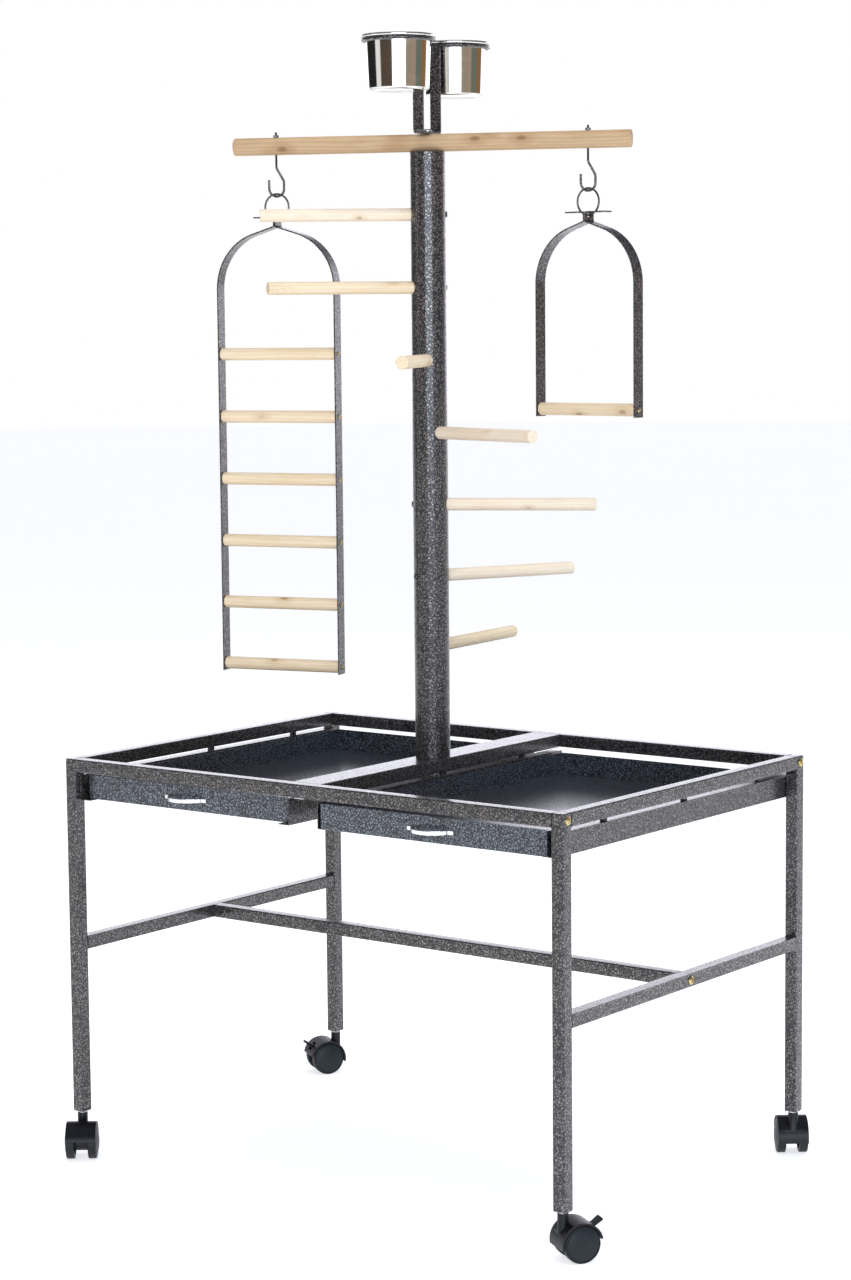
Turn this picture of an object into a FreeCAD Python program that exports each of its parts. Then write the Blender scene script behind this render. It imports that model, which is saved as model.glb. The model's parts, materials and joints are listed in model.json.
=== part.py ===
"""Parrot play stand on castors: a steel table frame with two pull-out trays, a round post with
spiral perches, and a cross perch that carries a hanging ladder, a swing and two lift-out cups.

Millimetres. The origin is on the floor under the middle of the table. +X runs along the table,
+Y to its back and +Z up. Each sub-part is written to parts/NODE.step.
"""
import FreeCAD, Part
import math
import os

from FreeCAD import Placement, Rotation, Vector

UP = Vector(0, 0, 1)
ALONG = Vector(1, 0, 0)
ACROSS = Vector(0, 1, 0)
SAME_POINT = 1e-4

# ---- driving dimensions -------------------------------------------------------------------
# Table frame of welded square tube
FRAME_LENGTH = 868.0
FRAME_DEPTH = 610.0
TABLE_TOP = 586.0
TUBE = 19.0
TUBE_WALL = 1.5
BEAM_WIDTH = 50.0
LOWER_RAIL_Z = 315.0
FRAME_BOLT_R = 3.0
FRAME_BOLT_HEAD_R = 6.0
FRAME_BOLT_HEAD_H = 3.0
FRAME_BOLT_HEAD_EDGE = 1.8
FRAME_BOLT_GRIP = 14.0
PLUG_EXTRA = 2.0

# Castors
WHEEL_R = 25.0
WHEEL_TREAD = 12.0
WHEEL_EDGE = 2.5
WHEEL_DOME = 3.0
WHEEL_GAP = 20.0
CASTOR_TRAIL = 19.0
AXLE_R = 4.0
AXLE_SINK = 2.0
HOOD_SHELL = 3.0
HOOD_CLEARANCE = 1.0
HOOD_OPEN_ANGLE = 12.0
HOOD_NECK_R = 7.4
HOOD_NECK_H = 9.5
HOOD_NECK_ROOT = 20.5
HOOD_BOSS_R = 13.0
STEM_PIVOT_R = 4.0
STEM_PIVOT_L = 16.0
STEM_R = 5.5
STEM_L = 36.0
STEM_RING_R = 5.4
STEM_RING_H = 2.2
SWIVEL_GAP = 0.3
LEVER_WIDTH = 11.0
LEVER_THICK = 4.0
LEVER_REACH = 16.0
LEVER_PIN_R = 1.5
LEVER_HUB_R = 3.0
LEVER_ANGLE = 42.0
LEVER_LIFT = 8.0
LEVER_PIN_INSET = 1.0
LEVER_PIN_GRIP = 2.5
LEVER_EDGE = 1.6
LEVER_NOTCH = 1.5
LEVER_SWEEP = 4.0
LEVER_SIDE_GAP = 0.5
# Direction of each castor's trail, anticlockwise from +X
CASTOR_HEADINGS = {"front_left": -52.0, "front_right": 57.0, "rear_left": -123.0, "rear_right": 128.0}
BRAKED_CASTORS = ("front_right", "rear_left")

# Trays and their runners
SHEET = 1.2
RUNNER_HEIGHT = 36.0
RUNNER_FLANGE = 18.0
RUNNER_SETBACK = 9.5
RUNNER_SLOT = 5.0
RUNNER_TAB = 10.0
RUNNER_TAB_STEP = 196.0
TRAY_SIDE_CLEARANCE = 8.3
TRAY_TOP_CLEARANCE = 1.0
TRAY_FLOOR_CLEARANCE = 0.3
TRAY_BACK_GAP = 6.0
TRAY_SETBACK = 19.0
# How far the left (-1) and the right (1) tray stand pulled out
TRAY_PULL = {-1: 0.0, 1: 14.0}
TRAY_RIM = 1.6
STOP_SLOT_WIDTH = 3.0
STOP_SLOT_HEIGHT = 10.0
STOP_SLOT_INSET = 30.0
STOP_SLOT_DROP = 5.0
HANDLE_SPAN = 76.0
HANDLE_BOW = 23.0
HANDLE_HEIGHT = 6.0
HANDLE_THICK = 2.0
HANDLE_FOOT = 7.0

# Post and spiral perches
POST_R = 25.0
POST_WALL = 2.0
POST_LENGTH = 858.0
POST_PLATE = 4.0
POST_BOLT_R = 4.0
POST_BOLT_HEAD_R = 6.8
POST_BOLT_HEAD_H = 5.0
DOWEL_R = 9.0
SPIRAL_REACH = 211.0
SPIRAL_TOP_Z = 1357.0
SPIRAL_PITCH = 102.0
SPIRAL_TURNS = (220.0, 236.0, 298.0, 343.0, 28.0, 66.0, 96.0)
SEAT_GAP = 0.2
SEAT_DEPTH = 4.0
PERCH_SCREW_R = 2.5
PERCH_SCREW_GRIP = 40.0
PERCH_SCREW_HEAD_R = 4.6
PERCH_SCREW_HEAD_H = 2.6
DOWEL_EDGE = 1.2

# Cross perch, cup bracket and cups
CROSS_R = 12.5
CROSS_LENGTH = 572.0
CROSS_SHIFT = 4.0
CROSS_TURN = 24.0
BRACKET_TURN = 96.0
BRACKET_WIDTH = 16.0
BRACKET_THICK = 3.0
BRACKET_SPREAD = 50.0
BRACKET_BEND_R = 4.0
BRACKET_TOP_DROP = 1.0
RING_WELD = 1.0
BRACKET_BOLT_R = 3.0
BRACKET_BOLT_HEAD_R = 7.0
BRACKET_BOLT_HEAD_H = 4.0
CUP_RIM_Z = 1600.0
CUP_DEPTH = 76.0
CUP_TOP_R = 46.0
CUP_TAPER = 3.5
CUP_WALL = 1.0
CUP_LIP = 4.3
CUP_RIM_R = 2.2
CUP_REST_GAP = 0.3
CUP_BASE_CURVE = 4.0
HOLDER_WIRE_R = 2.5
HOLDER_CLEARANCE = 0.8

# Hooks, rings, ladder and swing
HOOK_WIRE_R = 1.75
HOOK_SPACING = 449.0
HOOK_BEND_R = 10.9
HOOK_KNEE_R = 8.7
HOOK_END_PROUD = 4.0
HOOK_DROP = 58.0
HOOK_SHANK = 18.0
HOOK_TIP = 23.0
HOOK_TURN = 55.0
HOOK_BORE_CLEARANCE = 0.25
NUT_ACROSS = 7.0
NUT_HEIGHT = 3.2
RING_R = 18.5
RING_WIRE_R = 1.5
LINK_GAP = 0.3
STRAP_WIDTH = 20.0
STRAP_THICK = 2.0
STRAP_BEND_R = 3.0
ARCH_R = 80.0
ARCH_RISE = 28.0
NECK_HEIGHT = 13.0
WING_RISE = 4.0
WING_LENGTH = 33.0
RING_SLOT_WIDTH = 8.0
RING_SLOT_REACH = 15.0
RING_SLOT_DROP = 3.0
STRAP_END = 10.5
LADDER_TURN = 14.0
LADDER_WIDTH = 184.0
LADDER_TOP_RUNG_Z = 1163.0
LADDER_RUNG_PITCH = 89.5
LADDER_RUNGS = 6
SWING_TURN = -3.0
SWING_WIDTH = 170.0
SWING_PERCH_Z = 1083.0
RUNG_SCREW_R = 2.0
RUNG_SCREW_GRIP = 18.0
RUNG_SCREW_HEAD_R = 3.4
RUNG_SCREW_HEAD_H = 1.8
SCREW_CLEARANCE = 0.1

# Fits, and how far a cut runs past the face it opens
PIVOT_CLEARANCE = 0.05
HEAD_GAP = 0.05
PAST = 1.0

# ---- sizes that follow --------------------------------------------------------------------
WHEEL_SPACE_R = WHEEL_R + HOOD_CLEARANCE
HOOD_R = WHEEL_SPACE_R + HOOD_SHELL
HOOD_TOP = WHEEL_R + HOOD_R + HOOD_NECK_H
STEM_RING_Z = HOOD_TOP + SWIVEL_GAP
LEG_BASE = STEM_RING_Z + STEM_RING_H
RAIL_Z = TABLE_TOP - TUBE / 2
RAIL_UNDER = TABLE_TOP - TUBE
LEG_X = FRAME_LENGTH / 2 - TUBE / 2
LEG_Y = FRAME_DEPTH / 2 - TUBE / 2
BAY_X = FRAME_LENGTH / 2 - TUBE
BAY_Y = FRAME_DEPTH / 2 - TUBE

RUNNER_TOP = RAIL_UNDER - RUNNER_SLOT
RUNNER_BASE = RUNNER_TOP - RUNNER_HEIGHT
TRAY_BASE = RUNNER_BASE + SHEET + TRAY_FLOOR_CLEARANCE
TRAY_TOP = RUNNER_TOP - TRAY_TOP_CLEARANCE
TRAY_BACK_Y = FRAME_DEPTH / 2 - TRAY_BACK_GAP - TUBE / 2

POST_TOP = TABLE_TOP + POST_LENGTH
CROSS_Z = POST_TOP + CROSS_R
BRACKET_Z = CROSS_Z + CROSS_R
CUP_BASE_R = CUP_TOP_R - CUP_TAPER
CUP_EDGE_R = CUP_TOP_R + CUP_LIP
HOLDER_R = CUP_TOP_R + HOLDER_CLEARANCE + HOLDER_WIRE_R
REST_SPACE = CUP_RIM_R + HOLDER_WIRE_R + CUP_REST_GAP
HOLDER_Z = CUP_RIM_Z - CUP_RIM_R - math.sqrt(REST_SPACE ** 2 - (CUP_EDGE_R - HOLDER_R) ** 2)
CUP_OFFSET = BRACKET_SPREAD / 2 + HOLDER_R + HOLDER_WIRE_R - RING_WELD

HOOK_BASE_Z = CROSS_Z - CROSS_R - HOOK_DROP
RING_Z = HOOK_BASE_Z + HOOK_WIRE_R + LINK_GAP + RING_WIRE_R - RING_R
LINK_Z = RING_Z - RING_R
WING_Z = LINK_Z + WING_RISE
NECK_Z = WING_Z - NECK_HEIGHT


# ---- helpers ------------------------------------------------------------------------------
def box(x0, x1, y0, y1, z0, z1):
    """Block between two corners."""
    return Part.makeBox(x1 - x0, y1 - y0, z1 - z0, Vector(x0, y0, z0))


def rod(start, direction, length, radius):
    """Plain round bar."""
    return Part.makeCylinder(radius, length, start, direction)


def heading(degrees):
    """Level unit vector, anticlockwise from +X."""
    angle = math.radians(degrees)
    return Vector(math.cos(angle), math.sin(angle), 0)


def placed(shape, degrees, origin):
    """Copy of a shape turned about +Z and moved to origin."""
    moved = shape.copy()
    moved.Placement = Placement(origin, Rotation(UP, degrees)) * moved.Placement
    return moved


def fused(first, *others):
    """One clean solid from touching solids."""
    joined = first
    for other in others:
        joined = joined.fuse(other)
    return joined.removeSplitter()


def group(solids):
    """Separate solids kept in one node."""
    return Part.makeCompound(solids)


def export(node, shape):
    """Write one node."""
    if not shape.isValid():
        raise ValueError("invalid shape: " + node)
    shape.exportStep("parts/%s.step" % node)
    print("%-28s %d solid(s) %10.0f mm3" % (node, len(shape.Solids), shape.Volume))


def rounded_edges(points, radii):
    """Line and arc edges through points, with each inner corner rounded."""
    edges = []
    last = points[0]
    for before, corner, after, radius in zip(points, points[1:], points[2:], radii):
        inward = (before - corner).normalize()
        outward = (after - corner).normalize()
        turn = math.pi - inward.getAngle(outward)
        reach = radius * math.tan(turn / 2)
        start = corner + inward * reach
        end = corner + outward * reach
        bisector = (inward + outward).normalize()
        middle = corner + bisector * (radius / math.cos(turn / 2) - radius)
        if (start - last).Length > SAME_POINT:
            edges.append(Part.LineSegment(last, start).toShape())
        edges.append(Part.Arc(start, middle, end).toShape())
        last = end
    edges.append(Part.LineSegment(last, points[-1]).toShape())
    return edges


def shifted_points(points, offset):
    """Corner points of a path in the XZ plane, moved sideways by offset."""
    normals = []
    for start, end in zip(points, points[1:]):
        along = (end - start).normalize()
        normals.append(Vector(-along.z, 0, along.x))
    moved = [points[0] + normals[0] * offset]
    for corner, first, second in zip(points[1:], normals, normals[1:]):
        moved.append(corner + (first + second) * (offset / (1 + first.dot(second))))
    moved.append(points[-1] + normals[-1] * offset)
    return moved


def bent_strip(points, radii, turns, thickness, width):
    """Flat strip bent along a path in the XZ plane, its width along Y.

    turns holds +1 for a left-hand corner and -1 for a right-hand one.
    """
    half = thickness / 2
    left = shifted_points(points, half)
    right = shifted_points(points, -half)
    left_edges = rounded_edges(left, [r - t * half for r, t in zip(radii, turns)])
    right_edges = rounded_edges(right, [r + t * half for r, t in zip(radii, turns)])
    ends = [Part.LineSegment(left[0], right[0]).toShape(), Part.LineSegment(left[-1], right[-1]).toShape()]
    outline = Part.Wire(Part.__sortEdges__(left_edges + right_edges + ends))
    strip = Part.Face(outline).extrude(Vector(0, width, 0))
    strip.translate(Vector(0, -width / 2, 0))
    return strip


def square_tube(x0, x1, y0, y1, z0, z1, axis):
    """Square or rectangular tube, open at both ends along axis."""
    wall = TUBE_WALL
    inset = [0 if name == axis else wall for name in "xyz"]
    outer = box(x0, x1, y0, y1, z0, z1)
    inner = box(x0 + inset[0], x1 - inset[0], y0 + inset[1], y1 - inset[1], z0 + inset[2], z1 - inset[2])
    return outer.cut(inner)


# ---- table frame --------------------------------------------------------------------------
def corner_sign(name):
    """Side of the table, -1 or +1, for a corner name such as front_left."""
    return (1 if "right" in name else -1, 1 if "rear" in name else -1)


def frame_bolt_hole(side_x, y, z):
    """Bore through one outer wall for a frame bolt."""
    start = Vector(side_x * (FRAME_LENGTH / 2 + PAST), y, z)
    return rod(start, Vector(-side_x, 0, 0), TUBE + 2 * PAST, FRAME_BOLT_R + SCREW_CLEARANCE)


def leg(name):
    """Upright with a capped top and a plugged foot bored for the castor stem."""
    side_x, side_y = corner_sign(name)
    x, y = side_x * LEG_X, side_y * LEG_Y
    half = TUBE / 2
    body = box(x - half, x + half, y - half, y + half, LEG_BASE, TABLE_TOP)
    inner = half - TUBE_WALL
    plug_top = LEG_BASE + STEM_L + PLUG_EXTRA
    hollow = box(x - inner, x + inner, y - inner, y + inner, plug_top, TABLE_TOP - TUBE_WALL)
    stem_bore = rod(Vector(x, y, LEG_BASE - PAST), UP, plug_top - LEG_BASE + 2 * PAST, STEM_R)
    return body.cut(hollow).cut(stem_bore).cut(frame_bolt_hole(side_x, y, RAIL_Z))


def end_plug(side_x, y, z):
    """Threaded plug welded in the end of a rail, where a frame bolt screws in."""
    inner = TUBE / 2 - TUBE_WALL
    x_end = side_x * BAY_X
    x_in = side_x * (BAY_X - FRAME_BOLT_GRIP - PLUG_EXTRA)
    return box(min(x_end, x_in), max(x_end, x_in), y - inner, y + inner, z - inner, z + inner)


def long_rail(y, z):
    """Tube along X between the end frames, with a threaded plug at each end."""
    half = TUBE / 2
    rail = square_tube(-BAY_X, BAY_X, y - half, y + half, z - half, z + half, "x")
    for side_x in (-1, 1):
        start = Vector(side_x * (BAY_X + PAST), y, z)
        thread = rod(start, Vector(-side_x, 0, 0), FRAME_BOLT_GRIP + PAST, FRAME_BOLT_R)
        rail = rail.fuse(end_plug(side_x, y, z)).cut(thread)
    return rail.removeSplitter()


def side_rail(side_x):
    """Top tube along Y, welded between two legs."""
    x, half = side_x * LEG_X, TUBE / 2
    return square_tube(x - half, x + half, -BAY_Y, BAY_Y, RAIL_UNDER, TABLE_TOP, "y")


def lower_rail(side_x):
    """Low tube along Y between two legs, bored for the stretcher bolt."""
    x, half = side_x * LEG_X, TUBE / 2
    low, high = LOWER_RAIL_Z - half, LOWER_RAIL_Z + half
    rail = square_tube(x - half, x + half, -BAY_Y, BAY_Y, low, high, "y")
    return rail.cut(frame_bolt_hole(side_x, 0, LOWER_RAIL_Z))


def centre_beam():
    """Wide tube from front to back rail, bored for the post bolt."""
    half = BEAM_WIDTH / 2
    beam = square_tube(-half, half, -BAY_Y, BAY_Y, RAIL_UNDER, TABLE_TOP, "y")
    bore = rod(Vector(0, 0, RAIL_UNDER - PAST), UP, TUBE + 2 * PAST, POST_BOLT_R + SCREW_CLEARANCE)
    return beam.cut(bore)


def frame_bolts():
    """Round-head bolts: one through each leg into a rail, one through each lower rail."""
    bolts = []
    for side_x in (-1, 1):
        for y, z in ((-LEG_Y, RAIL_Z), (LEG_Y, RAIL_Z), (0, LOWER_RAIL_Z)):
            face = Vector(side_x * (FRAME_LENGTH / 2 + HEAD_GAP), y, z)
            inward = Vector(-side_x, 0, 0)
            shank = rod(face, inward, TUBE + FRAME_BOLT_GRIP - PAST, FRAME_BOLT_R)
            outer = face - inward * FRAME_BOLT_HEAD_H
            head = rod(outer, inward, FRAME_BOLT_HEAD_H, FRAME_BOLT_HEAD_R)
            rim = [edge for edge in head.Edges if edge.CenterOfMass.isEqual(outer, SAME_POINT)]
            head = head.makeFillet(FRAME_BOLT_HEAD_EDGE, rim)
            bolts.append(fused(head, shank))
    return group(bolts)


# ---- runners, trays, handles --------------------------------------------------------------
def runner(web_x, toward_tray):
    """Z-section runner: a web, a lower flange under the tray and an upper flange under the rail."""
    front, back = -FRAME_DEPTH / 2 + RUNNER_SETBACK, TRAY_BACK_Y
    web_far = web_x - toward_tray * SHEET
    web = box(min(web_x, web_far), max(web_x, web_far), front, back, RUNNER_BASE, RUNNER_TOP)
    low_end = web_x + toward_tray * RUNNER_FLANGE
    low = box(min(web_far, low_end), max(web_far, low_end), front, back, RUNNER_BASE, RUNNER_BASE + SHEET)
    top_end = web_x - toward_tray * RUNNER_FLANGE
    top_y = BAY_Y - 1
    top = box(min(web_x, top_end), max(web_x, top_end), -top_y, top_y, RUNNER_TOP - SHEET, RUNNER_TOP)
    tabs = []
    tab_x = web_x - toward_tray * RUNNER_FLANGE / 2
    half = RUNNER_TAB / 2
    for step in (-1, 0, 1):
        y = step * RUNNER_TAB_STEP
        tabs.append(box(tab_x - half / 2, tab_x + half / 2, y - half, y + half, RUNNER_TOP - SHEET, RAIL_UNDER))
    return fused(web, low, top, *tabs)


def tray_edges(side_x):
    """Inner faces of the two runner webs that a tray slides between."""
    outer = side_x * (BAY_X - SHEET)
    inner = side_x * (BEAM_WIDTH / 2 + SHEET)
    return min(outer, inner), max(outer, inner)


def tray_runners():
    """Four runners, a pair for each tray."""
    runners = []
    for side_x in (-1, 1):
        low, high = tray_edges(side_x)
        runners.append(runner(low, 1))
        runners.append(runner(high, -1))
    return group(runners)


def tray_front(side_x):
    """Front face of a tray as it stands."""
    return -FRAME_DEPTH / 2 + TRAY_SETBACK - TRAY_PULL[side_x]


def tray(side_x):
    """Folded sheet tray whose front plate stands a little above its other walls."""
    low, high = tray_edges(side_x)
    x0, x1 = low + TRAY_SIDE_CLEARANCE, high - TRAY_SIDE_CLEARANCE
    front, back = tray_front(side_x), TRAY_BACK_Y - TRAY_PULL[side_x]
    pan = box(x0, x1, front, back, TRAY_BASE, TRAY_TOP)
    hollow = box(x0 + SHEET, x1 - SHEET, front + SHEET, back - SHEET, TRAY_BASE + SHEET, TRAY_TOP + PAST)
    pan = pan.cut(hollow)
    plate = box(x0, x1, front, front + SHEET, TRAY_BASE, TRAY_TOP + TRAY_RIM)
    slot_y = back - STOP_SLOT_INSET
    slot_top = TRAY_TOP - STOP_SLOT_DROP
    slot_far = slot_y + STOP_SLOT_WIDTH
    slot = box(x0 - PAST, x1 + PAST, slot_y, slot_far, slot_top - STOP_SLOT_HEIGHT, slot_top)
    return fused(pan, plate).cut(slot)


def handle(side_x):
    """Bowed strap pull on the middle of a tray front."""
    low, high = tray_edges(side_x)
    half = HANDLE_SPAN / 2
    bow_end = half - HANDLE_FOOT
    radius = (bow_end ** 2 + HANDLE_BOW ** 2) / (2 * HANDLE_BOW)
    centre = Vector(0, radius - HANDLE_BOW, 0)
    disc = rod(centre, UP, HANDLE_HEIGHT, radius)
    strap = disc.cut(rod(centre, UP, HANDLE_HEIGHT, radius - HANDLE_THICK))
    strap = strap.common(box(-half, half, -HANDLE_BOW - PAST, 0, 0, HANDLE_HEIGHT))
    feet = []
    for side in (-1, 1):
        inner, outer = side * (bow_end - HANDLE_THICK), side * half
        feet.append(box(min(inner, outer), max(inner, outer), -HANDLE_THICK, 0, 0, HANDLE_HEIGHT))
    pull = fused(strap, *feet)
    pull.translate(Vector((low + high) / 2, tray_front(side_x), (TRAY_BASE + TRAY_TOP) / 2 - HANDLE_HEIGHT / 2))
    return pull


# ---- post and perches ---------------------------------------------------------------------
def spiral_levels():
    """Height and heading of each spiral perch, from the top down."""
    return [(SPIRAL_TOP_Z - step * SPIRAL_PITCH, turn) for step, turn in enumerate(SPIRAL_TURNS)]


def post():
    """Round tube with an end plate top and bottom, drilled through for each perch screw."""
    tube = rod(Vector(0, 0, TABLE_TOP), UP, POST_LENGTH, POST_R)
    hollow = rod(Vector(0, 0, TABLE_TOP + POST_PLATE), UP, POST_LENGTH - 2 * POST_PLATE, POST_R - POST_WALL)
    tube = tube.cut(hollow)
    for z, turn in spiral_levels():
        start = heading(turn) * -(POST_R + PAST) + UP * z
        tube = tube.cut(rod(start, heading(turn), 2 * (POST_R + PAST), PERCH_SCREW_R + SCREW_CLEARANCE))
    through = POST_PLATE + 2 * PAST
    tube = tube.cut(rod(Vector(0, 0, TABLE_TOP - PAST), UP, through, POST_BOLT_R))
    return tube.cut(rod(Vector(0, 0, POST_TOP - POST_PLATE - PAST), UP, through, BRACKET_BOLT_R))


def dowel(start, direction, length, radius):
    """Round wooden bar with softened ends."""
    bar = rod(start, direction, length, radius)
    ends = [edge for edge in bar.Edges if edge.Curve.TypeId == "Part::GeomCircle"]
    return bar.makeChamfer(DOWEL_EDGE, ends)


def spiral_perch(z, turn):
    """Dowel screwed to the post, its root hollowed to the tube."""
    outward = heading(turn)
    root = outward * (POST_R - SEAT_DEPTH) + UP * z
    bar = dowel(root, outward, SPIRAL_REACH + SEAT_DEPTH, DOWEL_R)
    bar = bar.cut(rod(Vector(0, 0, z - 2 * DOWEL_R), UP, 4 * DOWEL_R, POST_R + SEAT_GAP))
    pilot = rod(UP * z, outward, POST_R + PERCH_SCREW_GRIP, PERCH_SCREW_R)
    return bar.cut(pilot)


def perch_screws():
    """Long screws from the far side of the post into each spiral perch."""
    screws = []
    for z, turn in spiral_levels():
        outward = heading(turn)
        face = outward * -(POST_R + HEAD_GAP) + UP * z
        head = rod(face - outward * PERCH_SCREW_HEAD_H, outward, PERCH_SCREW_HEAD_H, PERCH_SCREW_HEAD_R)
        shank = rod(face, outward, 2 * POST_R + PERCH_SCREW_GRIP - PAST, PERCH_SCREW_R)
        screws.append(fused(head, shank))
    return group(screws)


def cross_perch():
    """Thick dowel across the top of the post, bored for its bolt and the two hooks."""
    along = heading(CROSS_TURN)
    start = along * (CROSS_SHIFT - CROSS_LENGTH / 2) + UP * CROSS_Z
    bar = dowel(start, along, CROSS_LENGTH, CROSS_R)
    below = UP * (CROSS_Z - CROSS_R - PAST)
    through = 2 * (CROSS_R + PAST)
    bar = bar.cut(rod(below, UP, through, BRACKET_BOLT_R + SCREW_CLEARANCE))
    for side in (-1, 1):
        bar = bar.cut(rod(hook_origin(side) + below, UP, through, HOOK_WIRE_R + HOOK_BORE_CLEARANCE))
    return bar


def post_bolts():
    """Bolt up through the beam into the post, and bolt down through bracket and cross perch."""
    lower_face = RAIL_UNDER - HEAD_GAP
    lower_head = rod(Vector(0, 0, lower_face), UP * -1, POST_BOLT_HEAD_H, POST_BOLT_HEAD_R)
    lower = fused(lower_head, rod(Vector(0, 0, lower_face), UP, TUBE + POST_PLATE, POST_BOLT_R))
    upper_face = BRACKET_Z + BRACKET_THICK + HEAD_GAP
    upper_head = rod(Vector(0, 0, upper_face), UP, BRACKET_BOLT_HEAD_H, BRACKET_BOLT_HEAD_R)
    length = upper_face - POST_TOP + POST_PLATE
    upper = fused(upper_head, rod(Vector(0, 0, upper_face), UP * -1, length, BRACKET_BOLT_R))
    return group([lower, upper])


# ---- cup bracket and cups -----------------------------------------------------------------
def cup_bracket():
    """U-shaped strap with a wire ring welded to the top of each leg."""
    half = BRACKET_SPREAD / 2 - BRACKET_THICK / 2
    low = BRACKET_Z + BRACKET_THICK / 2
    top = HOLDER_Z + HOLDER_WIRE_R - BRACKET_TOP_DROP
    points = [Vector(-half, 0, top), Vector(-half, 0, low), Vector(half, 0, low), Vector(half, 0, top)]
    strap = bent_strip(points, [BRACKET_BEND_R] * 2, [1, 1], BRACKET_THICK, BRACKET_WIDTH)
    bore = rod(UP * (BRACKET_Z - PAST), UP, BRACKET_THICK + 2 * PAST, BRACKET_BOLT_R + SCREW_CLEARANCE)
    strap = strap.cut(bore)
    centres = [Vector(side * CUP_OFFSET, 0, HOLDER_Z) for side in (-1, 1)]
    rings = [Part.makeTorus(HOLDER_R, HOLDER_WIRE_R, centre) for centre in centres]
    return placed(fused(strap, *rings), BRACKET_TURN, Vector(0, 0, 0))


def cup(side):
    """Thin round cup whose lip and rolled rim rest on its holder ring."""
    base_z = CUP_RIM_Z - CUP_DEPTH
    rim_z = CUP_RIM_Z - CUP_RIM_R
    slope = (CUP_TOP_R - CUP_BASE_R) / (rim_z - base_z)
    curve = CUP_BASE_CURVE
    outer = [Vector(0, 0, base_z), Vector(CUP_BASE_R, 0, base_z), Vector(CUP_TOP_R, 0, rim_z)]
    floor_z = base_z + CUP_WALL
    floor_r = CUP_BASE_R + slope * CUP_WALL - CUP_WALL
    inner = [Vector(0, 0, floor_z), Vector(floor_r, 0, floor_z), Vector(CUP_TOP_R - CUP_WALL, 0, rim_z)]
    edges = rounded_edges(outer, [curve]) + rounded_edges(inner, [curve - CUP_WALL])
    edges.append(Part.LineSegment(outer[0], inner[0]).toShape())
    edges.append(Part.LineSegment(outer[2], inner[2]).toShape())
    profile = Part.Face(Part.Wire(Part.__sortEdges__(edges)))
    shell = profile.revolve(Vector(0, 0, 0), UP, 360)
    lip = rod(UP * (rim_z - CUP_WALL / 2), UP, CUP_WALL, CUP_EDGE_R)
    lip = lip.cut(rod(UP * (rim_z - CUP_WALL), UP, 2 * CUP_WALL, CUP_TOP_R - CUP_WALL))
    rim = Part.makeTorus(CUP_EDGE_R, CUP_RIM_R, Vector(0, 0, rim_z))
    return placed(fused(shell, lip, rim), 0, heading(BRACKET_TURN) * (side * CUP_OFFSET))


# ---- hooks and rings ----------------------------------------------------------------------
def hook_origin(side):
    """Point on the floor plane under a hook."""
    return heading(CROSS_TURN) * (CROSS_SHIFT + side * HOOK_SPACING / 2)


def hook(side):
    """Bent wire hook with a straight threaded shank."""
    bend = HOOK_BEND_R
    top = BRACKET_Z + NUT_HEIGHT + HOOK_END_PROUD
    shank = CROSS_Z - CROSS_R - HOOK_SHANK
    tip = HOOK_BASE_Z + HOOK_TIP
    points = [Vector(0, 0, top), Vector(0, 0, shank), Vector(bend, 0, HOOK_BASE_Z + 2 * bend),
              Vector(bend, 0, HOOK_BASE_Z), Vector(-bend, 0, HOOK_BASE_Z), Vector(-bend, 0, tip)]
    path = Part.Wire(rounded_edges(points, [HOOK_KNEE_R, HOOK_KNEE_R, bend, bend]))
    section = Part.Wire(Part.Circle(points[0], UP, HOOK_WIRE_R).toShape())
    wire = path.makePipeShell([section], True, False)
    return placed(wire, HOOK_TURN, hook_origin(side))


def hook_nuts():
    """Hexagon nut on top of the cross perch for each hook."""
    nuts = []
    for side in (-1, 1):
        reach = NUT_ACROSS / math.sqrt(3)
        corners = [heading(60 * step) * reach for step in range(6)]
        blank = Part.Face(Part.makePolygon(corners + corners[:1])).extrude(UP * NUT_HEIGHT)
        nut = blank.cut(rod(UP * -PAST, UP, NUT_HEIGHT + 2 * PAST, HOOK_WIRE_R))
        nuts.append(placed(nut, 0, hook_origin(side) + UP * (BRACKET_Z + HEAD_GAP)))
    return group(nuts)


def hanging_ring(side, turn):
    """Wire ring between a hook and what hangs from it, in the plane of that piece."""
    ring = Part.makeTorus(RING_R, RING_WIRE_R, Vector(0, 0, 0), Vector(0, 1, 0))
    return placed(ring, turn, hook_origin(side) + UP * RING_Z)


# ---- ladder and swing ---------------------------------------------------------------------
def hanging_strap(width, low_z, side, levels):
    """One side of a ladder or swing: upright, arch, neck and level wing, in its own XZ plane."""
    neck = STRAP_THICK / 2 + HEAD_GAP
    half = width / 2
    points = [Vector(half, 0, low_z), Vector(half, 0, NECK_Z - ARCH_RISE), Vector(neck, 0, NECK_Z),
              Vector(neck, 0, WING_Z), Vector(WING_LENGTH, 0, WING_Z)]
    strap = bent_strip(points, [ARCH_R, STRAP_BEND_R, STRAP_BEND_R], [1, -1, -1], STRAP_THICK, STRAP_WIDTH)
    slot_half = RING_SLOT_WIDTH / 2
    slot_low = LINK_Z - RING_SLOT_DROP
    slot_high = WING_Z + STRAP_THICK
    strap = strap.cut(box(-PAST, RING_SLOT_REACH, -slot_half, slot_half, slot_low, slot_high))
    for z in levels:
        start = Vector(half - STRAP_THICK, 0, z)
        strap = strap.cut(rod(start, ALONG, 2 * STRAP_THICK, RUNG_SCREW_R + SCREW_CLEARANCE))
    return strap if side > 0 else strap.mirror(Vector(0, 0, 0), ALONG)


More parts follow.
